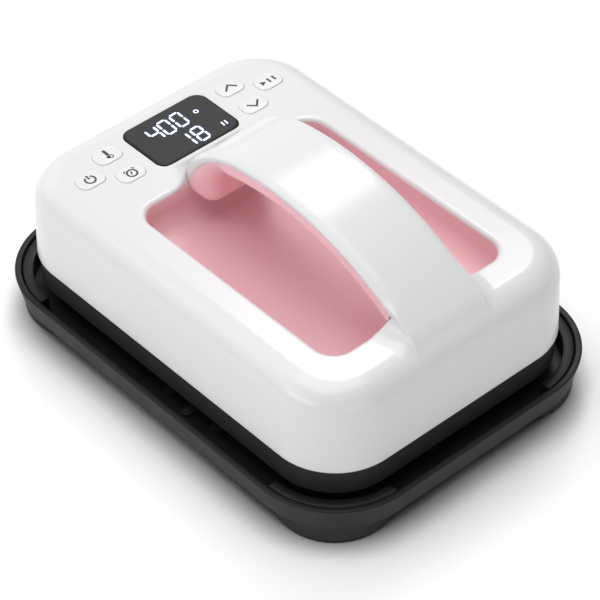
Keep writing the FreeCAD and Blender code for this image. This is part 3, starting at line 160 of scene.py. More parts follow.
BUTTON_HALF_WIDTH = 6.55
BUTTON_HALF_LENGTH = 4.6
BUTTON_CORNER = 3.9
BUTTON_RISE = 0.5
BUTTON_EDGE = 0.48
BUTTON_GAP = 0.1
BUTTON_WELL = 3.6
BUTTON_WELL_GAP = 0.4
BUTTONS = {
    "power": (-49.3, 71.3),
    "temperature": (-34.0, 79.0),
    "timer": (-34.0, 63.4),
    "up": (34.0, 79.0),
    "down": (34.0, 63.4),
    "start": (49.3, 71.3),
}

TRAY_HALF_WIDTH = 82.25
TRAY_HALF_LENGTH = 112.5
TRAY_CORNER = 39.6
TRAY_BASE = 8.8
TRAY_RIM = 21.4
TRAY_SLOPE = 2.75
TRAY_RIM_WIDTH = 3.0
TRAY_WALL = 2.6
TRAY_FLOOR = 11.5
# Inset from the line of the tray's foot, and height over it.
TRAY_FOOT_ROLL = ((0.6, 0.0), (0.17, 0.17), (-0.1, 0.6))
# Inset from the tray's widest line, and drop under its rim.
TRAY_RIM_FOOT = ((0.16, 0.95), (0.1, 0.7))
TRAY_RIM_ROLL = 0.75
TRAY_RIM_BULGE = 0.1
# Inset short of the rim's inner line, and drop under the rim.
TRAY_RIM_INNER = ((0.6, 0.0), (0.25, 0.1), (0.0, 0.45))
# Inset past the floor's edge, and height over the floor.
TRAY_FLOOR_ROLL = ((-0.5, 0.9), (0.3, 0.0))

SEAT_OUTER = 36.0
SEAT_INNER = 31.6
SEAT_TOP = 20.6
SEAT_EDGE = 0.4
SEAT_EDGE_CUT = 0.12

PRINT_THICKNESS = 0.02
PRINT_LIFT = 0.005
MARK_WIDTH = 0.85
ARROW_WIDTH = 0.95
# Degrees over which an edge is shaded sharp.
MOULDED_SHARP = 40
LENS_SHARP = 8
MARK_SHARP = 30

# ------------------------------------------------------------- field functions
# A form is a function of x, y, z that is negative inside and about the distance outside.


def round_rectangle(x, y, half_width, half_length, corner):
    across = np.abs(x) - half_width + corner
    along = np.abs(y) - half_length + corner
    outside = np.hypot(np.maximum(across, 0), np.maximum(along, 0))
    return outside + np.minimum(np.maximum(across, along), 0) - corner


def both(a, b, radius):
    """Where both forms are, with the edge between them rounded."""
    outside = np.hypot(np.maximum(a + radius, 0), np.maximum(b + radius, 0))
    return np.minimum(np.maximum(a, b), -radius) + outside


def either(a, b, radius):
    """Where one form or the other is, with a fillet in the corner between them."""
    inside = np.hypot(np.maximum(radius - a, 0), np.maximum(radius - b, 0))
    return np.maximum(np.minimum(a, b), radius) - inside


def melted(a, b, width):
    """Where one form or the other is, with a soft seam where they come within a width of each other."""
    near = np.maximum(width - np.abs(a - b), 0) / width
    return np.minimum(a, b) - near * near * width / 4


def beyond(y, z, centre, y_at_end, radius):
    """Whether a point lies past the ray from the arc's centre through its end."""
    turn = math.asin((y_at_end - centre[0]) / radius)
    return (y - centre[0]) * math.cos(turn) - (z - centre[1]) * math.sin(turn) > 0


def two_arcs(y, z, first, first_radius, end_y, second, second_radius):
    """Distance outside a long arc that runs on into a tighter one."""
    long = np.hypot(y - first[0], z - first[1]) - first_radius
    short = np.hypot(y - second[0], z - second[1]) - second_radius
    return np.where(beyond(y, z, first, end_y, first_radius), short, long)


def end_wall(y, z):
    """How far outside the shell's leaning front or rear wall."""
    height = (z - SHELL_BASE) / (SHELL_TOP - SHELL_BASE)
    return np.abs(y) - SHELL_HALF_LENGTH + SHELL_END_LEAN * height


def shell_body(x, y, z):
    """The shell without its handle."""
    height = (z - SHELL_BASE) / (SHELL_TOP - SHELL_BASE)
    sides = round_rectangle(
        x, y, SHELL_HALF_WIDTH - SHELL_SIDE_LEAN * height, SHELL_HALF_LENGTH - SHELL_END_LEAN * height,
        SHELL_CORNER - SHELL_CORNER_LEAN * height)
    return both(sides, z - SHELL_TOP, SHELL_EDGE)


def long_section(y, z):
    """The shell without its handle, as the section along its middle."""
    return both(end_wall(y, z), z - SHELL_TOP, SHELL_EDGE)


def crest(y, z):
    """The strap's outside line: heel, long arch, shoulder, and the toe that runs into the shell's top."""
    arch = two_arcs(y, z, CREST_CENTRE, CREST_RADIUS, CREST_END_Y, SHOULDER_CENTRE, SHOULDER_RADIUS)
    share = HEEL_RADIUS / CREST_RADIUS
    start_y = HEEL_START_Y
    start_z = CREST_CENTRE[1] + math.sqrt(CREST_RADIUS ** 2 - (start_y - CREST_CENTRE[0]) ** 2)
    heel_y = start_y + (CREST_CENTRE[0] - start_y) * share
    heel_z = start_z + (CREST_CENTRE[1] - start_z) * share
    heel = np.hypot(y - heel_y, z - heel_z) - HEEL_RADIUS
    line = np.where(beyond(y, z, CREST_CENTRE, start_y, CREST_RADIUS), arch, heel)
    return np.where(y > 0, either(arch, long_section(y, z), TOE_RADIUS), line)


def band_line(y, z):
    """Positive under the strap's lower edge, where the grip begins."""
    return -two_arcs(y, z, BAND_CENTRE, BAND_RADIUS, BAND_END_Y, BAND_REAR_CENTRE, BAND_REAR_RADIUS)


def eased(value, start, end):
    """From 0 at start to 1 at end, with no corner."""
    share = np.clip((value - start) / (end - start), 0, 1)
    return share * share * (3 - 2 * share)


def strap(x, y, z):
    """The strap with a slight crown, a fine crease and a bevel beside each edge."""
    across = np.abs(x)
    rise = long_section(y, z) - crest(y, z)
    proud = np.clip(rise / FULL_DETAIL_RISE, 0, 1) * eased(y, *STRAP_ROOT_Y)
    crown = CROWN_SLOPE * np.maximum(across - CROWN_START, 0)
    crown = crown + BEVEL_SLOPE * np.maximum(across - CREASE_X, 0)
    crease = CREASE_DEPTH * np.exp(-((across - CREASE_X) / CREASE_WIDTH) ** 2)
    return both(crest(y, z) + proud * (crown + crease), across - STRAP_HALF_WIDTH, STRAP_EDGE)


def web(x, y, z):
    """Hollow flares between the strap's sides and the shell's top, an arc in every cross section."""
    across = np.abs(x)
    under = long_section(y, z)
    tall = np.maximum(under - crest(y, z), 0)
    rise = tall - WEB_STEP * (1 - np.exp(-tall / WEB_STEP))
    reach = np.where(
        y > 0, WEB_LEAST_REACH + WEB_REACH_SHARE * np.minimum(tall, WEB_TALLEST),
        FRONT_REACH + FRONT_REACH_SLOPE * (y - FRONT_REACH_Y))
    span = reach + WEB_LAP
    rise = np.clip(rise, WEB_LEAST_RISE, span)
    radius = (span ** 2 + rise ** 2) / (2 * rise)
    from_foot = np.maximum(STRAP_HALF_WIDTH + reach - across, 0)
    arc = radius - np.hypot(from_foot, np.maximum(radius - under, 0))
    inside = np.maximum(STRAP_HALF_WIDTH - WEB_LAP - across, across - STRAP_HALF_WIDTH - reach - WEB_LAP)
    return np.maximum(arc, inside)


def pocket(x, y, z):
    """The open space of the pocket, which leans outwards above the shell's top."""
    above = np.maximum(z - SHELL_TOP, 0)
    front = POCKET_FRONT - POCKET_FRONT_SLOPE * above
    rear = POCKET_REAR + POCKET_REAR_SLOPE * above
    side = POCKET_SIDE_SLOPE * above
    return round_rectangle(
        x, y - (front + rear) / 2, POCKET_HALF_WIDTH + side, (rear - front) / 2, POCKET_CORNER + side)


def shell_form(x, y, z):
    """The white shell with the strap on it, open where the pocket, display and buttons go."""
    crown = strap(x, y, z)
    hull = np.minimum(shell_body(x, y, z), np.maximum(web(x, y, z), SHELL_BASE - z))
    melt = FOOT_MELT * (1 - eased(y, *FOOT_MELT_Y)) * eased(z, *FOOT_MELT_Z)
    hull = melted(hull, crown, np.maximum(melt, FOOT_LEAST_MELT))
    opened = both(hull, -pocket(x, y, z), POCKET_LIP)
    opened = np.minimum(opened, np.maximum(hull, z - POCKET_CUT))
    arch = both(crown, band_line(y, z), BAND_EDGE)
    arch = np.maximum(arch, np.maximum(ARCH_FRONT - y, y - ARCH_REAR))
    form = np.minimum(opened, arch)
    seat = round_rectangle(
        x, y - LENS_Y, LENS_HALF_WIDTH + LENS_GAP, LENS_HALF_LENGTH + LENS_GAP, LENS_CORNER + LENS_GAP)
    form = np.maximum(form, -np.maximum(seat, SHELL_TOP - LENS_SEAT - LENS_SEAT_GAP - z))
    for bx, by in BUTTONS.values():
        hole = round_rectangle(
            x - bx, y - by, BUTTON_HALF_WIDTH + BUTTON_GAP, BUTTON_HALF_LENGTH + BUTTON_GAP,
            BUTTON_CORNER + BUTTON_GAP)
        form = np.maximum(form, -np.maximum(hole, SHELL_TOP - BUTTON_WELL - z))
    return both(form, SHELL_BASE - z, SHELL_FOOT_EDGE)


def grip_form(x, y, z):
    """The soft grip under the strap, with its nose at the rear."""
    lower = GRIP_RADIUS - np.hypot(y - BAND_CENTRE[0], z - BAND_CENTRE[1])
    nose = both(NOSE_FRONT - y, NOSE_BASE - z, NOSE_CORNER)
    underside = either(lower, nose, GRIP_THROAT)
    edge = GRIP_EDGE + (NOSE_EDGE - GRIP_EDGE) * eased(y, NOSE_START_Y, NOSE_FULL_Y)
    form = both(underside, np.abs(x) - STRAP_HALF_WIDTH, edge)
    form = both(form, GRIP_TUCK - band_line(y, z), GRIP_BORDER)
    return both(form, pocket(x, y, z) + GRIP_GAP, GRIP_BORDER)


# -------------------------------------------------------------- mesh from a field

TINY = 1e-9
SLOPE_STEP = 0.02
CROSSING_TRIES = 5
CROSSING_MARGIN = 0.02
PULL_TO_CENTRE = 0.02
CORNER_PULL = 0.2


def slope(form, points):
    """Unit outward direction of a form at each point."""
    step = SLOPE_STEP
    x, y, z = points.T
    found = np.stack([
        form(x + step, y, z) - form(x - step, y, z),
        form(x, y + step, z) - form(x, y - step, z),
        form(x, y, z + step) - form(x, y, z - step)], axis=1)
    return found / np.maximum(np.linalg.norm(found, axis=1, keepdims=True), TINY)


def crossing_points(form, low, high, low_value, high_value):
    """Where the form's surface crosses each short line, by repeated false position."""
    for _ in range(CROSSING_TRIES):
        share = low_value / (low_value - high_value)
        share = np.clip(share, CROSSING_MARGIN, 1 - CROSSING_MARGIN)[:, None]
        middle = low + (high - low) * share
        value = form(*middle.T)
        same = (value < 0) == (low_value < 0)
        low = np.where(same[:, None], middle, low)
        low_value = np.where(same, value, low_value)
        high = np.where(same[:, None], high, middle)
        high_value = np.where(same, high_value, value)
    share = (low_value / (low_value - high_value))[:, None]
    return low + (high - low) * share


def surface_crossings(form, axes, values):
    """For each axis: the grid lines that cross the surface, the points where they do, and which way."""
    cells = np.array(values.shape) - 1
    lines = []
    for axis in range(3):
        first = np.take(values, np.arange(cells[axis]), axis)
        second = np.take(values, np.arange(1, cells[axis] + 1), axis)
        index = np.argwhere((first < 0) != (second < 0))
        far = index.copy()
        far[:, axis] += 1
        low = np.stack([axes[k][index[:, k]] for k in range(3)], axis=1)
        high = np.stack([axes[k][far[:, k]] for k in range(3)], axis=1)
        low_value, high_value = values[tuple(index.T)], values[tuple(far.T)]
        points = crossing_points(form, low, high, low_value, high_value)
        lines.append((axis, index, points, low_value < 0))
    return lines


def cells_round(lines, form, cells):
    """The four cells round each crossing, with the crossing's point and the form's slope there."""
    cell_rows, normals, points = [], [], []
    for axis, index, found, _ in lines:
        direction = slope(form, found)
        u, v = (axis + 1) % 3, (axis + 2) % 3
        for du, dv in ((-1, -1), (0, -1), (0, 0), (-1, 0)):
            cell = index.copy()
            cell[:, u] += du
            cell[:, v] += dv
            good = np.all((cell >= 0) & (cell < cells), axis=1)
            number = (cell[:, 0] * cells[1] + cell[:, 1]) * cells[2] + cell[:, 2]
            cell_rows.append(np.where(good, number, -1))
            normals.append(direction)
            points.append(found)
    return np.concatenate(cell_rows), np.concatenate(normals), np.concatenate(points)


def cell_vertices(slot_of, total, normal, point):
    """One vertex for each cell: the point nearest to the planes of the crossings round it."""

    def gathered(weights):
        return np.bincount(slot_of, weights, total)

    count = gathered(np.ones(len(slot_of)))
    centre = np.stack([gathered(point[:, k]) for k in range(3)], axis=1) / count[:, None]
    offset = np.einsum("ij,ij->i", normal, point - centre[slot_of])
    matrix = np.empty((total, 3, 3))
    for a in range(3):
        for b in range(3):
            matrix[:, a, b] = gathered(normal[:, a] * normal[:, b])
    right = np.stack([gathered(normal[:, k] * offset) for k in range(3)], axis=1)
    matrix += np.eye(3) * PULL_TO_CENTRE
    return centre + np.linalg.solve(matrix, right[:, :, None])[:, :, 0]


def contour(form, axes):
    """Vertices and quads on a form's surface, with vertices placed on its edges and corners too."""
    values = form(*np.meshgrid(*axes, indexing="ij"))
    values = np.where(values == 0, TINY, values)
    cells = np.array(values.shape) - 1
    lines = surface_crossings(form, axes, values)
    flat, normal, point = cells_round(lines, form, cells)
    used = flat >= 0
    names, slot_of = np.unique(flat[used], return_inverse=True)
    vertices = cell_vertices(slot_of, len(names), normal[used], point[used])
    cell = (names // (cells[1] * cells[2]), names // cells[2] % cells[1], names % cells[2])
    for k in range(3):
        vertices[:, k] = np.clip(vertices[:, k], axes[k][cell[k]], axes[k][cell[k] + 1])
    quads = []
    start = 0
    for _, index, _, outward in lines:
        size = len(index)
        corners = np.stack([flat[start + size * n:start + size * (n + 1)] for n in range(4)], axis=1)
        start += size * 4
        good = np.all(corners >= 0, axis=1)
        corners = np.searchsorted(names, corners[good])
        quads.append(np.where(outward[good][:, None], corners, corners[:, ::-1]))
    return vertices, np.concatenate(quads)


def steps(*parts):
    """One axis of the grid from (start, end, number of cells) stretches."""
    found = [np.linspace(start, end, number + 1)[:-1] for start, end, number in parts]
    return np.concatenate(found + [np.array([parts[-1][1]])])


def field_mesh(name, form, axes, keep=None):
    """A mesh of a form, shaded with the form's own slope so that its edges stay crisp."""
    vertices, quads = contour(form, axes)
    middle = vertices[quads].mean(axis=1)
    if keep is not None:
        quads = quads[keep(middle, slope(form, middle))]
        middle = vertices[quads].mean(axis=1)
    used, index = np.unique(quads, return_inverse=True)
    vertices, quads = vertices[used], index.reshape(quads.shape)
    corner = vertices[quads]
    corner = corner + (middle[:, None, :] - corner) * CORNER_PULL
    normals = slope(form, corner.reshape(-1, 3))
    return mesh_object(name, vertices, quads, normals)


def linked(name, data):
    """A new object that shows this data in the scene."""
    thing = bpy.data.objects.new(name, data)
    bpy.context.scene.collection.objects.link(thing)
    return thing


def mesh_object(name, vertices, faces, normals=None):
    """A smooth-shaded mesh from points in millimetres."""
    data = bpy.data.meshes.new(name)
    if isinstance(faces, np.ndarray):
        faces = faces.tolist()
    data.from_pydata((np.asarray(vertices) * MM).tolist(), [], faces)
    data.validate()
    data.shade_smooth()
    if normals is not None:
        data.normals_split_custom_set(normals.tolist())
    return linked(name, data)


# ------------------------------------------------------------ swept ring pieces

LEAST_CORNER = 0.01


def ring(half_width, half_length, corner, level, x, y, arc):
    """Points of a rounded rectangle, counter-clockwise seen from above."""
    corner = max(corner, LEAST_CORNER)
    found = []
    for sx, sy, start in ((1, 1, 0), (-1, 1, 90), (-1, -1, 180), (1, -1, 270)):
        for step in range(arc + 1):
            angle = math.radians(start + 90 * step / arc)
            found.append((
                x + sx * (half_width - corner) + corner * math.cos(angle),
                y + sy * (half_length - corner) + corner * math.sin(angle), level))
    return found


def quarter(inset, level, radius, start, end, count):
    """Profile points round an arc: inset from the outline, and level; angles from outwards to up."""
    found = []
    for step in range(count + 1):
        angle = math.radians(start + (end - start) * step / count)
        found.append((inset - radius * math.cos(angle), level + radius * math.sin(angle)))
    return found


def swept(name, outline, profile, arc, sharp, cap_first=True):
    """A piece whose profile runs round a rounded rectangle; each profile point is an inset and a level."""
    half_width, half_length, corner, x, y = outline
    vertices, faces = [], []
    for inset, level in profile:
        vertices += ring(half_width - inset, half_length - inset, corner - inset, level, x, y, arc)
    count = 4 * (arc + 1)
    for row in range(len(profile) - 1):
        for step in range(count):
            after = (step + 1) % count
            here, above = row * count, (row + 1) * count
            faces.append((here + step, here + after, above + after, above + step))
    faces.append(tuple(range((len(profile) - 1) * count, len(profile) * count)))
    if cap_first:
        faces.append(tuple(reversed(range(count))))
    return crisp(mesh_object(name, vertices, faces), sharp)


def crisp(thing, angle):
    """Mark the edges that turn by more than an angle, in degrees, as sharp."""
    thing.data.set_sharp_from_angle(angle=math.radians(angle))
    return thing


# ------------------------------------------------------------- flat printed marks

MITRE_LEAST = 0.4


def outline_of(points, width, closed):
    """Left and right borders of a stroke with mitred corners."""
    points = [np.array(p, float) for p in points]
    count = len(points)
    left, right = [], []
    for number, point in enumerate(points):
        before = points[number - 1] if number or closed else None
        after = points[(number + 1) % count] if number < count - 1 or closed else None
        ways = []
        if before is not None:
            ways.append((point - before) / np.linalg.norm(point - before))
        if after is not None:
            ways.append((after - point) / np.linalg.norm(after - point))
        way = sum(ways)
        way = way / np.linalg.norm(way)
        side = np.array([-way[1], way[0]])
        first = np.array([-ways[0][1], ways[0][0]])
        reach = width / 2 / max(float(side @ first), MITRE_LEAST)
        left.append(point + side * reach)
        right.append(point - side * reach)
    return left, right


def mark(name, strokes, discs, x, y, base):
    """Thin raised marks: strokes are (points, width, closed), discs are polygons."""
    vertices, faces = [], []

    def prism(polygon):
        start = len(vertices)
        count = len(polygon)
        for level in (base, base + PRINT_THICKNESS):
            vertices.extend((x + px, y + py, level) for px, py in polygon)
        faces.append(tuple(start + count + n for n in range(count)))
        for n in range(count):
            m = (n + 1) % count
            faces.append((start + n, start + m, start + count + m, start + count + n))

    for points, width, closed in strokes:
        left, right = outline_of(points, width, closed)
        count = len(points)
        for n in range(count if closed else count - 1):
            m = (n + 1) % count
            prism([right[n], right[m], left[m], left[n]])
    for polygon in discs:
        prism(polygon)
    return crisp(mesh_object(name, vertices, faces), MARK_SHARP)


def circle(cx, cy, radius, start=0.0, end=360.0, count=28):
    """Points round a circle, or along a part of it, in degrees."""
    closed = end - start >= 360
    number = count if closed else count + 1
    return [(
        cx + radius * math.cos(math.radians(start + (end - start) * n / count)),
        cy + radius * math.sin(math.radians(start + (end - start) * n / count))) for n in range(number)]


# ------------------------------------------------------------------- materials

# Most of a noise texture's values lie between these.
NOISE_LOW, NOISE_HIGH = 0.2, 0.8
LEAST_ROUGHNESS = 0.02
BACKLIGHT_DIMMEST = 0.96
BACKLIGHT_MOTTLE_MM = 4.0
BACKLIGHT_ROUGHNESS = 0.3


def tone(text):
    """A hex sRGB colour as linear light."""
    parts = [int(text[n:n + 2], 16) / 255 for n in (0, 2, 4)]
    return [p / 12.92 if p <= 0.04045 else ((p + 0.055) / 1.055) ** 2.4 for p in parts] + [1.0]


def add(tree, kind, inputs=None, **settings):
    """One shader node with its settings, and its inputs as values or links."""
    made = tree.nodes.new(kind)
    for key, value in settings.items():
        setattr(made, key, value)
    for key, value in (inputs or {}).items():
        if isinstance(value, bpy.types.NodeSocket):
            tree.links.new(value, made.inputs[key])
        else:
            made.inputs[key].default_value = value
    return made


def noise(tree, size_mm, detail=2.0, stretch=None):
    """Noise whose features are about that many millimetres across."""
    where = add(tree, "ShaderNodeTexCoord").outputs["Object"]
    if stretch is not None:
        where = add(tree, "ShaderNodeMapping", {"Vector": where, "Scale": stretch}).outputs["Vector"]
    return add(tree, "ShaderNodeTexNoise", {
        "Vector": where, "Scale": 1 / (size_mm * MM), "Detail": detail, "Roughness": 0.5}).outputs["Fac"]


def empty_material(name):
    """A new material and its node tree with no nodes."""
    made = bpy.data.materials.new(name)
    made.use_nodes = True
    made.node_tree.nodes.clear()
    return made, made.node_tree


def finish_material(name, colour, roughness, mottle=0.03, mottle_mm=30.0, grain_mm=0.5,
                    grain_depth_mm=0.004, polish=0.06, stretch=None, **shader):
    """A surface with faint colour drift, uneven polish and a fine moulded or drawn grain."""
    made, tree = empty_material(name)
    base = tone(colour)
    low = [max(c * (1 - mottle), 0) for c in base[:3]] + [1.0]
    high = [min(c * (1 + mottle), 1) for c in base[:3]] + [1.0]
    drift = add(tree, "ShaderNodeMix", {
        "Factor": noise(tree, mottle_mm), "A": low, "B": high}, data_type="RGBA")
    rough = add(tree, "ShaderNodeMapRange", {
        "Value": noise(tree, mottle_mm / 3, 1.0), "From Min": NOISE_LOW, "From Max": NOISE_HIGH,
        "To Min": max(roughness - polish, LEAST_ROUGHNESS), "To Max": min(roughness + polish, 1.0)})
    grain = add(tree, "ShaderNodeBump", {
        "Height": noise(tree, grain_mm, 3.0, stretch), "Strength": 1.0, "Distance": grain_depth_mm * MM})
    surface = add(tree, "ShaderNodeBsdfPrincipled", {
        "Base Color": drift.outputs[2], "Roughness": rough.outputs["Result"],
        "Normal": grain.outputs["Normal"]})
    for key, value in shader.items():
        surface.inputs[key.replace("_", " ")].default_value = value
    add(tree, "ShaderNodeOutputMaterial", {"Surface": surface.outputs[0]})
    return made


# White shell: satin-gloss ABS, injection moulded. It gives soft even white with a mild sheen on the crest.
shell_white = finish_material(
    "abs_white_moulded", "dfdfe0", 0.22, mottle=0.004, grain_depth_mm=0.001, polish=0.01)
# White caps: the same plastic from a smaller mould, slightly brighter.
cap_white = finish_material(
    "abs_white_cap", "e0e0e1", 0.32, mottle=0.004, grain_depth_mm=0.001, polish=0.01)
# Pink grip: soft-touch elastomer over a rigid core. It gives a warm even pink with a broad soft sheen.
grip_pink = finish_material(
    "tpe_pink_soft_touch", "ffc5cd", 0.42, mottle=0.008, grain_depth_mm=0.002, polish=0.02,
    Sheen_Weight=0.5, Sheen_Roughness=0.5, Sheen_Tint=(1.0, 0.75, 0.79, 1.0),
    Subsurface_Weight=0.4, Subsurface_Radius=(1.0, 0.6, 0.6), Subsurface_Scale=0.006)
# Pink liner: satin ABS, moulded. It gives the deeper pink of the hollow.
liner_pink = finish_material(
    "abs_pink_moulded", "e8bcc2", 0.42, mottle=0.008, grain_depth_mm=0.002, polish=0.02)
# Tray: heat-proof nylon, moulded with a fine satin skin. It gives a near-black rim and channel.
tray_black = finish_material(
    "nylon_black_moulded", "131314", 0.48, mottle=0.03, grain_mm=0.35, grain_depth_mm=0.002,
    Specular_IOR_Level=0.3)
# Tray's outer wall: the same nylon with a coarser grain, in a lighter grey that is painted light: it gives
# the even, slightly greyer band that the wall shows as it catches light.
tray_wall_painted_light = finish_material(
    "nylon_black_painted_lit_wall", "2a2a2b", 0.62, mottle=0.02, grain_mm=0.3, grain_depth_mm=0.004,
    Specular_IOR_Level=0.25)
# Lower housing: phenolic, moulded smooth. It gives an even near-black band with a soft gloss.
housing_black = finish_material(
    "phenolic_black_gloss", "2f2f30", 0.3, mottle=0.02, grain_mm=6.0, grain_depth_mm=0.0004, polish=0.02,
    Specular_IOR_Level=0.3)
# Display lens: smoked acrylic. It gives flat dark grey with a faint gloss.
lens_smoke = finish_material(
    "acrylic_smoked", "2d2d2e", 0.45, mottle=0.01, grain_depth_mm=0.0005, polish=0.02,
    Specular_IOR_Level=0.25)
# Lens border: black ink round the window's edge, laid on as painted shade: it gives the dark line where
# the window's bevel turns from the light.
lens_edge_painted_shade = finish_material(
    "black_painted_edge_shade", "0c0c0d", 0.5, mottle=0.02, mottle_mm=5.0, Specular_IOR_Level=0.2)
# Key marks: pad-printed dark grey ink. It gives thin flat signs on the caps.
print_grey = finish_material("ink_grey_printed", "3a3a3c", 0.6, mottle=0.02, mottle_mm=2.0, grain_mm=0.1)
# Feet: silicone rubber, moulded. It gives matte black under the tray's corners.
foot_rubber = finish_material(
    "rubber_black_moulded", "1c1c1d", 0.72, mottle=0.04, grain_mm=0.3, grain_depth_mm=0.01)
# Pad: silicone sheet, moulded. It gives a satin dark floor in the tray.
pad_silicone = finish_material("silicone_black_moulded", "1e1e1f", 0.55, mottle=0.03, grain_mm=0.4)
# Cord bushing: flexible rubber, moulded. It gives a matte black nub on the rear wall.
gland_rubber = finish_material("rubber_black_bushing", "202021", 0.62, mottle=0.03, grain_mm=0.3)


def lit_material(name, colour, strength):
    """A backlit display colour with the faint unevenness of its light."""
    made, tree = empty_material(name)
    base = tone(colour)
    dimmer = [c * BACKLIGHT_DIMMEST for c in base[:3]] + [1.0]
    drift = add(tree, "ShaderNodeMix", {
        "Factor": noise(tree, BACKLIGHT_MOTTLE_MM), "A": dimmer, "B": base}, data_type="RGBA")
    surface = add(tree, "ShaderNodeBsdfPrincipled", {
        "Base Color": drift.outputs[2], "Emission Color": drift.outputs[2], "Emission Strength": strength,
        "Roughness": BACKLIGHT_ROUGHNESS})
    add(tree, "ShaderNodeOutputMaterial", {"Surface": surface.outputs[0]})
    return made


# Segments: white backlight of the display; the blue halo is the light spilt round them.
segment_light = lit_material("backlight_white", "e8f4ff", 0.75)
segment_halo = lit_material("backlight_blue_spill", "1c2a58", 0.12)

# The materials of the solids inside, by slot: name, colour, roughness, and the rest.
INSIDE = {
    # Needled felt under the rest pad: loose fibres in a warm grey.
    "felt": ("felt_needled", "b9b2a2", 0.95, dict(
        mottle=0.12, mottle_mm=3.0, grain_mm=0.4, grain_depth_mm=0.15)),
    # Display glass behind the lens: near-black and glossy.
    "module_glass": ("glass_display_dark", "20232a", 0.12, dict(mottle=0.02)),
    # Printed boards: green solder mask over glass cloth, a satin mid green.
    "board_green": ("solder_mask_green", "1f6b3c", 0.35, dict(mottle=0.08, mottle_mm=4.0)),
    # Chips, buzzer and triac: moulded epoxy, matte charcoal.
    "chip_black": ("epoxy_black_moulded", "1b1b1c", 0.6, dict(mottle=0.05, mottle_mm=2.0)),
    # Tact switches and plungers: moulded nylon, satin black.
    "switch_black": ("nylon_black_switch", "222224", 0.5, dict(mottle=0.04, mottle_mm=2.0)),
    # Hot plate: cast aluminium with a dark ceramic-filled coating, slightly speckled.
    "plate_aluminium": ("aluminium_cast_coated", "3d3d40", 0.5, dict(
        mottle=0.15, mottle_mm=1.5, grain_mm=0.6, grain_depth_mm=0.02, Metallic=0.3)),
    # Heater sheath: drawn stainless tube, heat-tinted.
    "element_steel": ("steel_drawn_tube", "b3aca0", 0.32, dict(
        mottle=0.08, mottle_mm=8.0, stretch=(0.1, 1.0, 1.0), Metallic=1.0)),
    # Heater tabs: stamped brass, bright warm yellow.
    "terminal_brass": ("brass_stamped", "c9a552", 0.3, dict(mottle=0.06, mottle_mm=3.0, Metallic=1.0)),
    # Blanket: needled ceramic fibre, chalky white and uneven.
    "blanket_fibre": ("ceramic_fibre_needled", "ece8dd", 0.95, dict(
        mottle=0.08, mottle_mm=4.0, grain_mm=0.6, grain_depth_mm=0.2)),
    # Shield and clip: rolled steel sheet with its rolling lines.
    "shield_steel": ("steel_rolled_sheet", "b8b8bb", 0.3, dict(
        mottle=0.05, mottle_mm=10.0, grain_mm=0.2, stretch=(1.0, 0.05, 1.0), Metallic=1.0)),
    # Sensor bead and mains fuse: drawn glass, half clear with a warm tint.
    "sensor_glass": ("glass_drawn", "d9d6c8", 0.1, dict(mottle=0.03, Transmission_Weight=0.5)),
    # Thermal fuse: drawn can, bright grey metal.
    "fuse_metal": ("aluminium_drawn_can", "c4c4c8", 0.28, dict(mottle=0.05, mottle_mm=4.0, Metallic=1.0)),
    # Screws and tubes: zinc-plated steel, pale metal with cloudy spots.
    "screw_steel": ("steel_zinc_plated", "a9aaad", 0.3, dict(mottle=0.08, mottle_mm=1.5, Metallic=1.0)),
    # Heat sink: extruded aluminium, with its die lines.
    "sink_aluminium": ("aluminium_extruded", "bcbdc0", 0.35, dict(
        mottle=0.04, grain_mm=0.2, stretch=(1.0, 1.0, 0.05), Metallic=1.0)),
    # Capacitor: moulded box, satin yellow.
    "capacitor_yellow": ("polyester_yellow_box", "d8b13c", 0.4, dict(mottle=0.04, mottle_mm=5.0)),
    # Terminal block and cord clamp: natural nylon, a milky off-white.
    "block_nylon": ("nylon_natural_moulded", "dedbcc", 0.5, dict(mottle=0.03, mottle_mm=6.0)),
}
SHOWN = {
    "tray_black": tray_black, "pad_silicone": pad_silicone, "foot_rubber": foot_rubber,
    "shell_white": shell_white, "liner_pink": liner_pink, "grip_pink": grip_pink,
    "housing_black": housing_black, "lens_smoke": lens_smoke, "gland_rubber": gland_rubber,
    "button_white": cap_white,
}
for slot_name, (label, colour, roughness, more) in INSIDE.items():
    SHOWN[slot_name] = finish_material(label, colour, roughness, **more)


def dress(thing, material):
    """Give a piece one material."""
    thing.data.materials.clear()
    thing.data.materials.append(material)
    return thing


for part in frame["record"]["subparts"]:
    cad = nodes[part["node"]]
    for number in range(len(cad.material_slots)):
        cad.material_slots[number].material = SHOWN[part["material_slot"]]
    if not cad.material_slots:
        cad.data.materials.append(SHOWN[part["material_slot"]])


def place(thing, body, slot_name, *replaced):
    """Dress a piece with its slot's material and hand it to its body."""
    if not thing.data.materials:
        dress(thing, SHOWN[slot_name])
    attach(thing, body)
    if replaced:
        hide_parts(*replaced)
    return thing


def second_finish(thing, material, chosen):
    """Give the chosen faces of a piece a second material."""
    thing.data.materials.append(material)
    for face in thing.data.polygons:
        if chosen(face):
            face.material_index = 1
    return thing


# ---------------------------------------------------------------------- pieces


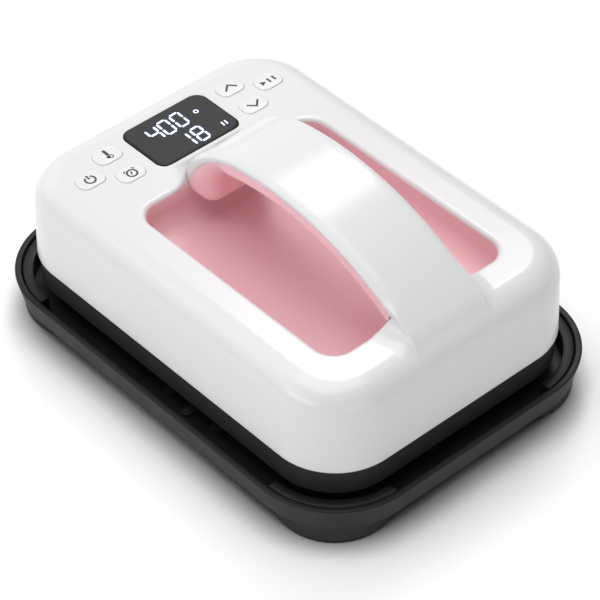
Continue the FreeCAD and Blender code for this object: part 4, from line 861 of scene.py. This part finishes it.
def make_shell():
    """The moulded shell as a skin: its inside is closed by the lower housing and the liner."""
    # The cells are finest at the strap's crease and bevel, and at the keys' and the pocket's height.
    axes = (
        steps(
            (-73, -37, 36), (-37, -19.9, 19), (-19.9, -17.5, 9), (-17.5, -16.7, 8), (-16.7, -14, 6),
            (-14, 14, 18),
            (14, 16.7, 6), (16.7, 17.5, 8), (17.5, 19.9, 9), (19.9, 37, 19), (37, 73, 36)),
        steps((-103, -90, 14), (-90, 50, 200), (50, 103, 56)),
        steps((31.9, 34.0, 5), (34.0, 58.0, 7), (58.0, 69.5, 13), (69.5, 72.7, 8), (72.7, 104.0, 48)),
    )
    under_height, cut_height, rim_height = 0.3, 0.2, 0.15
    inside_pocket, rim_width, facing_up = -0.05, 0.35, 0.5

    def keep(middle, normal):
        """Leave out the faces under the wall, in the pocket, and on the cut's flat rim."""
        x, y, z = middle.T
        inner = round_rectangle(
            x, y, SHELL_HALF_WIDTH - SHELL_WALL, SHELL_HALF_LENGTH - SHELL_WALL, SHELL_CORNER - SHELL_WALL)
        under = (z < SHELL_BASE + under_height) & (inner < 0)
        hollow = pocket(x, y, z)
        in_pocket = (hollow < inside_pocket) & (z < POCKET_CUT + cut_height)
        floor_rim = (hollow < rim_width) & (z < POCKET_CUT + rim_height) & (normal[:, 2] > facing_up)
        return ~(under | in_pocket | floor_rim)

    return field_mesh("shell", shell_form, axes, keep)


def make_grip():
    """The soft pink grip under the strap."""
    axes = (
        steps((-20.2, -13, 14), (-13, 13, 14), (13, 20.2, 14)),
        steps((-90, 46, 160)),
        steps((62, 101, 56)),
    )
    return field_mesh("grip", grip_form, axes)


def make_liner():
    """The pink bowl under the handle, with the flange that it hangs from."""
    outline = (
        POCKET_HALF_WIDTH, (POCKET_REAR - POCKET_FRONT) / 2, POCKET_CORNER,
        0.0, (POCKET_REAR + POCKET_FRONT) / 2)
    fillet = LINER_FILLET
    profile = [
        (-LINER_FLANGE, LINER_TOP - LINER_WALL), (-LINER_FLANGE, LINER_TOP), (-LINER_LIP, LINER_TOP),
        (0.0, LINER_TOP - LINER_LIP_CUT), (LINER_INSET, LINER_TOP - LINER_LIP),
        (LINER_INSET, POCKET_FLOOR + fillet + LINER_FILLET_LEAD)]
    turns = 8
    for step in range(turns + 1):
        angle = math.radians(90 * step / turns)
        level = POCKET_FLOOR + fillet - fillet * math.sin(angle)
        profile.append((fillet - fillet * math.cos(angle), level))
    return swept("pocket_bowl", outline, profile, arc=20, sharp=MOULDED_SHARP, cap_first=False)


def make_tray():
    """The tray with its rolled rim and sloping wall; the wall's outside gets the lighter copy of the
    black, painted light.
    """
    outline = (TRAY_HALF_WIDTH, TRAY_HALF_LENGTH, TRAY_CORNER, 0.0, 0.0)
    rim, base = TRAY_RIM, TRAY_BASE
    floor_inset = TRAY_SLOPE + TRAY_WALL
    profile = [(floor_inset, base)]
    profile += [(TRAY_SLOPE + inset, base + rise) for inset, rise in TRAY_FOOT_ROLL]
    profile += [(inset, rim - drop) for inset, drop in TRAY_RIM_FOOT]
    profile += quarter(
        TRAY_RIM_ROLL + TRAY_RIM_BULGE, rim - TRAY_RIM_ROLL, TRAY_RIM_ROLL, start=10, end=90, count=5)
    profile += [(TRAY_RIM_WIDTH - inset, rim - drop) for inset, drop in TRAY_RIM_INNER]
    profile += [(floor_inset + inset, TRAY_FLOOR + rise) for inset, rise in TRAY_FLOOR_ROLL]
    tray = dress(swept("tray", outline, profile, arc=28, sharp=MOULDED_SHARP), tray_black)
    lowest, highest, steepest = base + 0.2, rim - 0.9, 0.6

    def outer_wall(face):
        outwards = face.center.x * face.normal.x + face.center.y * face.normal.y > 0
        return outwards and abs(face.normal.z) < steepest and lowest < face.center.z / MM < highest

    # The outward faces of the wall get the lighter grey, painted light.
    return second_finish(tray, tray_wall_painted_light, outer_wall)


def make_seats():
    """Four raised corner seats inside the tray's rim."""
    vertices, faces = [], []
    edge, cut = SEAT_EDGE, SEAT_EDGE_CUT
    profile = [
        (SEAT_OUTER, TRAY_FLOOR), (SEAT_OUTER, SEAT_TOP - edge), (SEAT_OUTER - cut, SEAT_TOP - cut),
        (SEAT_OUTER - edge, SEAT_TOP), (SEAT_INNER + edge, SEAT_TOP), (SEAT_INNER + cut, SEAT_TOP - cut),
        (SEAT_INNER, SEAT_TOP - edge), (SEAT_INNER, TRAY_FLOOR)]
    arc = 24
    for sx, sy in ((1, 1), (-1, 1), (-1, -1), (1, -1)):
        start = len(vertices)
        for step in range(arc + 1):
            angle = math.radians(90 * step / arc)
            for radius, level in profile:
                vertices.append((
                    sx * (TRAY_HALF_WIDTH - TRAY_CORNER + radius * math.cos(angle)),
                    sy * (TRAY_HALF_LENGTH - TRAY_CORNER + radius * math.sin(angle)), level))
        count = len(profile)
        made = []
        for step in range(arc):
            for n in range(count - 1):
                a = start + step * count + n
                made.append((a, a + count, a + count + 1, a + 1))
        made.append(tuple(start + n for n in range(count)))
        made.append(tuple(start + arc * count + n for n in reversed(range(count))))
        if sx * sy < 0:
            made = [tuple(reversed(f)) for f in made]
        faces += made
    return crisp(mesh_object("tray_seats", vertices, faces), MOULDED_SHARP)


def make_lens():
    """The display window, with a dark band of painted shade on its edge."""
    outline = (LENS_HALF_WIDTH, LENS_HALF_LENGTH, LENS_CORNER, 0.0, LENS_Y)
    top = SHELL_TOP + LENS_RISE
    profile = [(0.0, SHELL_TOP - LENS_SEAT)]
    profile += [(inset, SHELL_TOP + rise) for inset, rise in LENS_BORDER]
    profile += [(LENS_BEVEL - LENS_ROLL, top - LENS_ROLL_DROP), (LENS_BEVEL, top)]
    window = dress(swept("display_window", outline, profile, arc=16, sharp=LENS_SHARP), lens_smoke)
    # The window's lowest faces, round its edge, get the painted shade.
    shade_band_top = (SHELL_TOP + LENS_SHADE_BAND_TOP) * MM
    return second_finish(window, lens_edge_painted_shade, lambda face: face.center.z < shade_band_top)


def make_button(name, x, y):
    """A key cap that stands a little out of its hole in the shell."""
    outline = (BUTTON_HALF_WIDTH, BUTTON_HALF_LENGTH, BUTTON_CORNER, x, y)
    top = SHELL_TOP + BUTTON_RISE
    profile = [(0.0, top - BUTTON_WELL + BUTTON_WELL_GAP)]
    profile += quarter(BUTTON_EDGE, top - BUTTON_EDGE, BUTTON_EDGE, start=0, end=90, count=6)
    return swept(f"{name}_cap", outline, profile, arc=12, sharp=MOULDED_SHARP)


def key_marks():
    """Strokes (points, width, closed) and filled shapes on each cap, in millimetres from its centre."""
    wide, arrow = MARK_WIDTH, ARROW_WIDTH
    play = circle(-3.0, 0.0, 1.75, 0, 360, 3)
    return {
        "power": ([(circle(0, 0, 2.3, 120, 420), wide, False), ([(0, 0.5), (0, 3.2)], wide, False)], []),
        "temperature": (
            [([(0.3, -0.4), (0.3, 3.6)], 1.5, False), (circle(0.9, -1.7, 0.9), 0.5, True)],
            [circle(-0.4, -1.4, 0.9)]),
        "timer": (
            [(circle(0.3, -0.5, 2.2), wide, True), ([(0.5, 0.6), (-0.3, -1.2)], 0.7, False),
             ([(-2.5, 1.2), (-1.5, 2.6)], 0.6, False), ([(2.1, 2.6), (3.1, 1.3)], 0.6, False)], []),
        "up": ([([(-3.1, -1.3), (0.2, 1.8), (3.1, -1.3)], arrow, False)], []),
        "down": ([([(-2.9, 1.2), (0.3, -1.9), (3.4, 1.3)], arrow, False)], []),
        "start": (
            [([(0.4, -1.5), (0.4, 1.5)], 1.0, False), ([(3.2, -1.5), (3.2, 1.5)], 1.0, False)], [play]),
    }


# The lit segments of each digit that the display shows.
SEGMENTS = {"0": "abcdef", "1": "bc", "4": "fgbc", "8": "abcdefg"}
DIGIT_WIDTH = 4.7
DIGIT_HEIGHT = 9.0
SEGMENT_WIDTH = 1.0
SEGMENT_GAP = 0.24
HALO_WIDTH = 0.45
DIGIT_LEAN = 0.07
DIGIT_TURN = 2.4
# Each digit and the middle of its place, x and y.
DIGITS = [
    ("4", (-10.5, 75.8)), ("0", (-3.75, 76.2)), ("0", (3.4, 76.5)),
    ("1", (-3.3, 63.2)), ("8", (4.05, 63.5)),
]
# Small ring beside the upper number.
RING_AT = (12.3, 76.0)
RING_RADIUS = 0.95
RING_WIDTH = 0.5
# Two ticks beside the lower number.
TICKS_X = (15.3, 17.1)
TICKS_Y = (60.6, 63.2)
TICK_WIDTH = 0.65
TICK_LEAN = 0.2
HALO_LIFT = 0.01
DIGIT_LIFT = 0.03


def segment_shape(letter, centre, grow):
    """One display segment as a long hexagon in a leaning digit."""
    half_width, half_height = DIGIT_WIDTH / 2, DIGIT_HEIGHT / 2
    ends = {
        "a": ((-half_width, half_height), (half_width, half_height)),
        "b": ((half_width, 0), (half_width, half_height)),
        "c": ((half_width, -half_height), (half_width, 0)),
        "d": ((-half_width, -half_height), (half_width, -half_height)),
        "e": ((-half_width, -half_height), (-half_width, 0)),
        "f": ((-half_width, 0), (-half_width, half_height)),
        "g": ((-half_width, 0), (half_width, 0)),
    }[letter]
    first, last = np.array(ends[0], float), np.array(ends[1], float)
    way = (last - first) / np.linalg.norm(last - first)
    side = np.array([-way[1], way[0]])
    half = SEGMENT_WIDTH / 2 + grow
    first, last = first + way * (SEGMENT_GAP - grow), last - way * (SEGMENT_GAP - grow)
    shape = [
        first, first + (way - side) * half, last - (way + side) * half, last,
        last - (way - side) * half, first + (way + side) * half]
    cos, sin = math.cos(math.radians(DIGIT_TURN)), math.sin(math.radians(DIGIT_TURN))
    found = []
    for px, py in shape:
        px += py * DIGIT_LEAN
        found.append((centre[0] + px * cos - py * sin, centre[1] + px * sin + py * cos))
    return found


def make_digits():
    """The lit digits, ring and ticks, each over a wider halo, just over the display window."""
    for name, grow, lift, material in (
            ("display_halo", HALO_WIDTH, HALO_LIFT, segment_halo),
            ("display_digits", 0.0, DIGIT_LIFT, segment_light)):
        shapes = []
        for text, centre in DIGITS:
            for letter in SEGMENTS[text]:
                shapes.append(segment_shape(letter, centre, grow))
        strokes = [(circle(*RING_AT, RING_RADIUS), RING_WIDTH + grow, True)]
        for x in TICKS_X:
            ends = [(x, TICKS_Y[0] - grow), (x + TICK_LEAN, TICKS_Y[1] + grow)]
            strokes.append((ends, TICK_WIDTH + grow, False))
        thing = mark(name, strokes, shapes, 0, 0, SHELL_TOP + LENS_RISE + lift)
        place(dress(thing, material), "press", "lens_smoke")


place(make_shell(), "press", "shell_white", "upper_shell")
place(make_grip(), "press", "grip_pink", "handle_grip")
place(make_liner(), "press", "liner_pink", "pocket_liner")
place(make_tray(), "base", "tray_black", "base_tray")
place(make_seats(), "base", "tray_black")
place(make_lens(), "press", "lens_smoke", "display_lens")
MARKS = key_marks()
for key, (key_x, key_y) in BUTTONS.items():
    place(make_button(key, key_x, key_y), f"{key}_key", "button_white", f"{key}_button")
    key_strokes, key_discs = MARKS[key]
    printed = mark(
        f"{key}_mark", key_strokes, key_discs, key_x, key_y, SHELL_TOP + BUTTON_RISE + PRINT_LIFT)
    place(dress(printed, print_grey), f"{key}_key", "button_white")
make_digits()

# -------------------------------------------------------------- floor and light

FLOOR_HALF = 6.0
# The floor's colour darkens close to the object by an occlusion test: a painted contact shadow, with its
# reach, its range and its darkest colour below.
CONTACT_REACH_MM = 30.0
SHADE_DARK = 0.25
SHADE_OPEN = 0.74
SHADE_CURVE = 0.66
FLOOR_GLOW = 0.03
FLOOR_PAINTED_SHADOW = "1e1e1e"
FLOOR_OPEN = "fdfdfd"
WORLD_LEVEL = 0.31
# Name, place in metres, the height it aims at over the middle, size in metres, watts, turn in degrees.
LIGHTS = [
    ("overhead_box", (0.0, 0.1, 1.3), 0.05, (1.2, 1.2), 10.4, 0.0),
    ("rear_right_box", (0.70, 0.58, 1.19), 0.07, (0.42, 0.42), 4.4, 0.0),
    ("rear_left_strip", (-0.74, 0.83, 1.08), 0.07, (0.7, 0.12), 0.7, -37.0),
    ("left_box", (-1.1, 0.35, 0.78), 0.05, (0.8, 0.6), 1.0, 0.0),
    ("left_strip", (-1.18, 0.0, 0.50), 0.05, (1.0, 0.4), 3.1, 0.0),
    ("front_strip", (-0.3, -1.3, 0.22), 0.05, (1.0, 0.4), 1.5, 0.0),
    ("rear_low_box", (0.15, 1.35, 0.60), 0.05, (2.0, 0.9), 3.8, 0.0),
]


def make_floor():
    """A wide pale floor with a painted contact shadow: its colour darkens close to what stands on it."""
    data = bpy.data.meshes.new("floor")
    half = FLOOR_HALF
    corners = [(-half, -half, 0), (half, -half, 0), (half, half, 0), (-half, half, 0)]
    data.from_pydata(corners, [], [(0, 1, 2, 3)])
    floor = linked("floor", data)
    made, tree = empty_material("floor_pale_painted_contact_shadow")
    # Painted contact shadow: what the camera sees of the floor darkens where the occlusion test finds the
    # object close; other rays see the plain pale floor.
    near = add(tree, "ShaderNodeAmbientOcclusion", {"Distance": CONTACT_REACH_MM * MM}, samples=16)
    open_sky = add(tree, "ShaderNodeMapRange", {
        "Value": near.outputs["AO"], "From Min": SHADE_DARK, "From Max": SHADE_OPEN, "To Min": 0.0,
        "To Max": 1.0})
    eased_out = add(tree, "ShaderNodeMath", {
        0: open_sky.outputs["Result"], 1: SHADE_CURVE}, operation="POWER")
    tint = add(tree, "ShaderNodeMix", {
        "Factor": eased_out.outputs[0], "A": tone(FLOOR_PAINTED_SHADOW), "B": tone(FLOOR_OPEN)}, data_type="RGBA")
    shade = add(tree, "ShaderNodeBsdfDiffuse", {"Color": tint.outputs[2]})
    glow = add(tree, "ShaderNodeEmission", {"Color": tint.outputs[2], "Strength": FLOOR_GLOW})
    path = add(tree, "ShaderNodeLightPath")
    plain = add(tree, "ShaderNodeBsdfDiffuse", {"Color": tone(FLOOR_OPEN)})
    both_lights = add(tree, "ShaderNodeAddShader", {0: shade.outputs[0], 1: glow.outputs[0]})
    seen = add(tree, "ShaderNodeMixShader", {
        "Fac": path.outputs["Is Camera Ray"], 1: plain.outputs[0], 2: both_lights.outputs[0]})
    add(tree, "ShaderNodeOutputMaterial", {"Surface": seen.outputs[0]})
    data.materials.append(made)


def soft_light(name, place_at, aim_height, size, power, turn):
    """A rectangular soft light that faces the object."""
    data = bpy.data.lights.new(name, "AREA")
    data.shape = "RECTANGLE"
    data.size, data.size_y = size
    data.energy = power
    lamp = linked(name, data)
    lamp.location = place_at
    lamp.rotation_mode = "QUATERNION"
    facing = (Vector((0, 0, aim_height)) - Vector(place_at)).to_track_quat("-Z", "Y")
    lamp.rotation_quaternion = facing @ Quaternion((0, 0, 1), math.radians(turn))


def make_world():
    """An even fill; the camera sees plain white behind the object."""
    world = bpy.data.worlds.new("studio")
    world.use_nodes = True
    tree = world.node_tree
    tree.nodes.clear()
    fill = add(tree, "ShaderNodeBackground", {"Color": (1, 1, 1, 1), "Strength": WORLD_LEVEL})
    white = add(tree, "ShaderNodeBackground", {"Color": (1, 1, 1, 1), "Strength": 1.0})
    path = add(tree, "ShaderNodeLightPath")
    seen = add(tree, "ShaderNodeMixShader", {
        "Fac": path.outputs["Is Camera Ray"], 1: fill.outputs[0], 2: white.outputs[0]})
    add(tree, "ShaderNodeOutputWorld", {"Surface": seen.outputs[0]})
    bpy.context.scene.world = world


CAMERA_AT_MM = (-599.164, -683.452, 854.019)
CAMERA_AZIMUTH = -41.4016
CAMERA_ELEVATION = 42.4547
CAMERA_ROLL = 0.6606
CAMERA_LENS = 174.954
SENSOR_WIDTH = 36.0
CAMERA_NEAR, CAMERA_FAR = 0.05, 50.0


def make_camera():
    """A camera at a fixed place, turned by azimuth, elevation and roll in degrees."""
    data = bpy.data.cameras.new("camera")
    data.lens = CAMERA_LENS
    data.sensor_width = SENSOR_WIDTH
    data.clip_start, data.clip_end = CAMERA_NEAR, CAMERA_FAR
    camera = linked("camera", data)
    azimuth, elevation, roll = [math.radians(a) for a in (CAMERA_AZIMUTH, CAMERA_ELEVATION, CAMERA_ROLL)]
    level = math.cos(elevation)
    back = Vector((math.sin(azimuth) * level, -math.cos(azimuth) * level, math.sin(elevation)))
    right = (-back).cross(Vector((0, 0, 1))).normalized()
    down = (-back).cross(right)
    turned_right = right * math.cos(roll) + down * math.sin(roll)
    turned_down = down * math.cos(roll) - right * math.sin(roll)
    turn = Matrix((turned_right, -turned_down, back)).transposed()
    camera.matrix_world = Matrix.Translation(Vector(CAMERA_AT_MM) * MM) @ turn.to_4x4()
    bpy.context.scene.camera = camera


make_floor()
make_world()
for light in LIGHTS:
    soft_light(*light)
make_camera()
bpy.context.scene.view_settings.view_transform = "Standard"
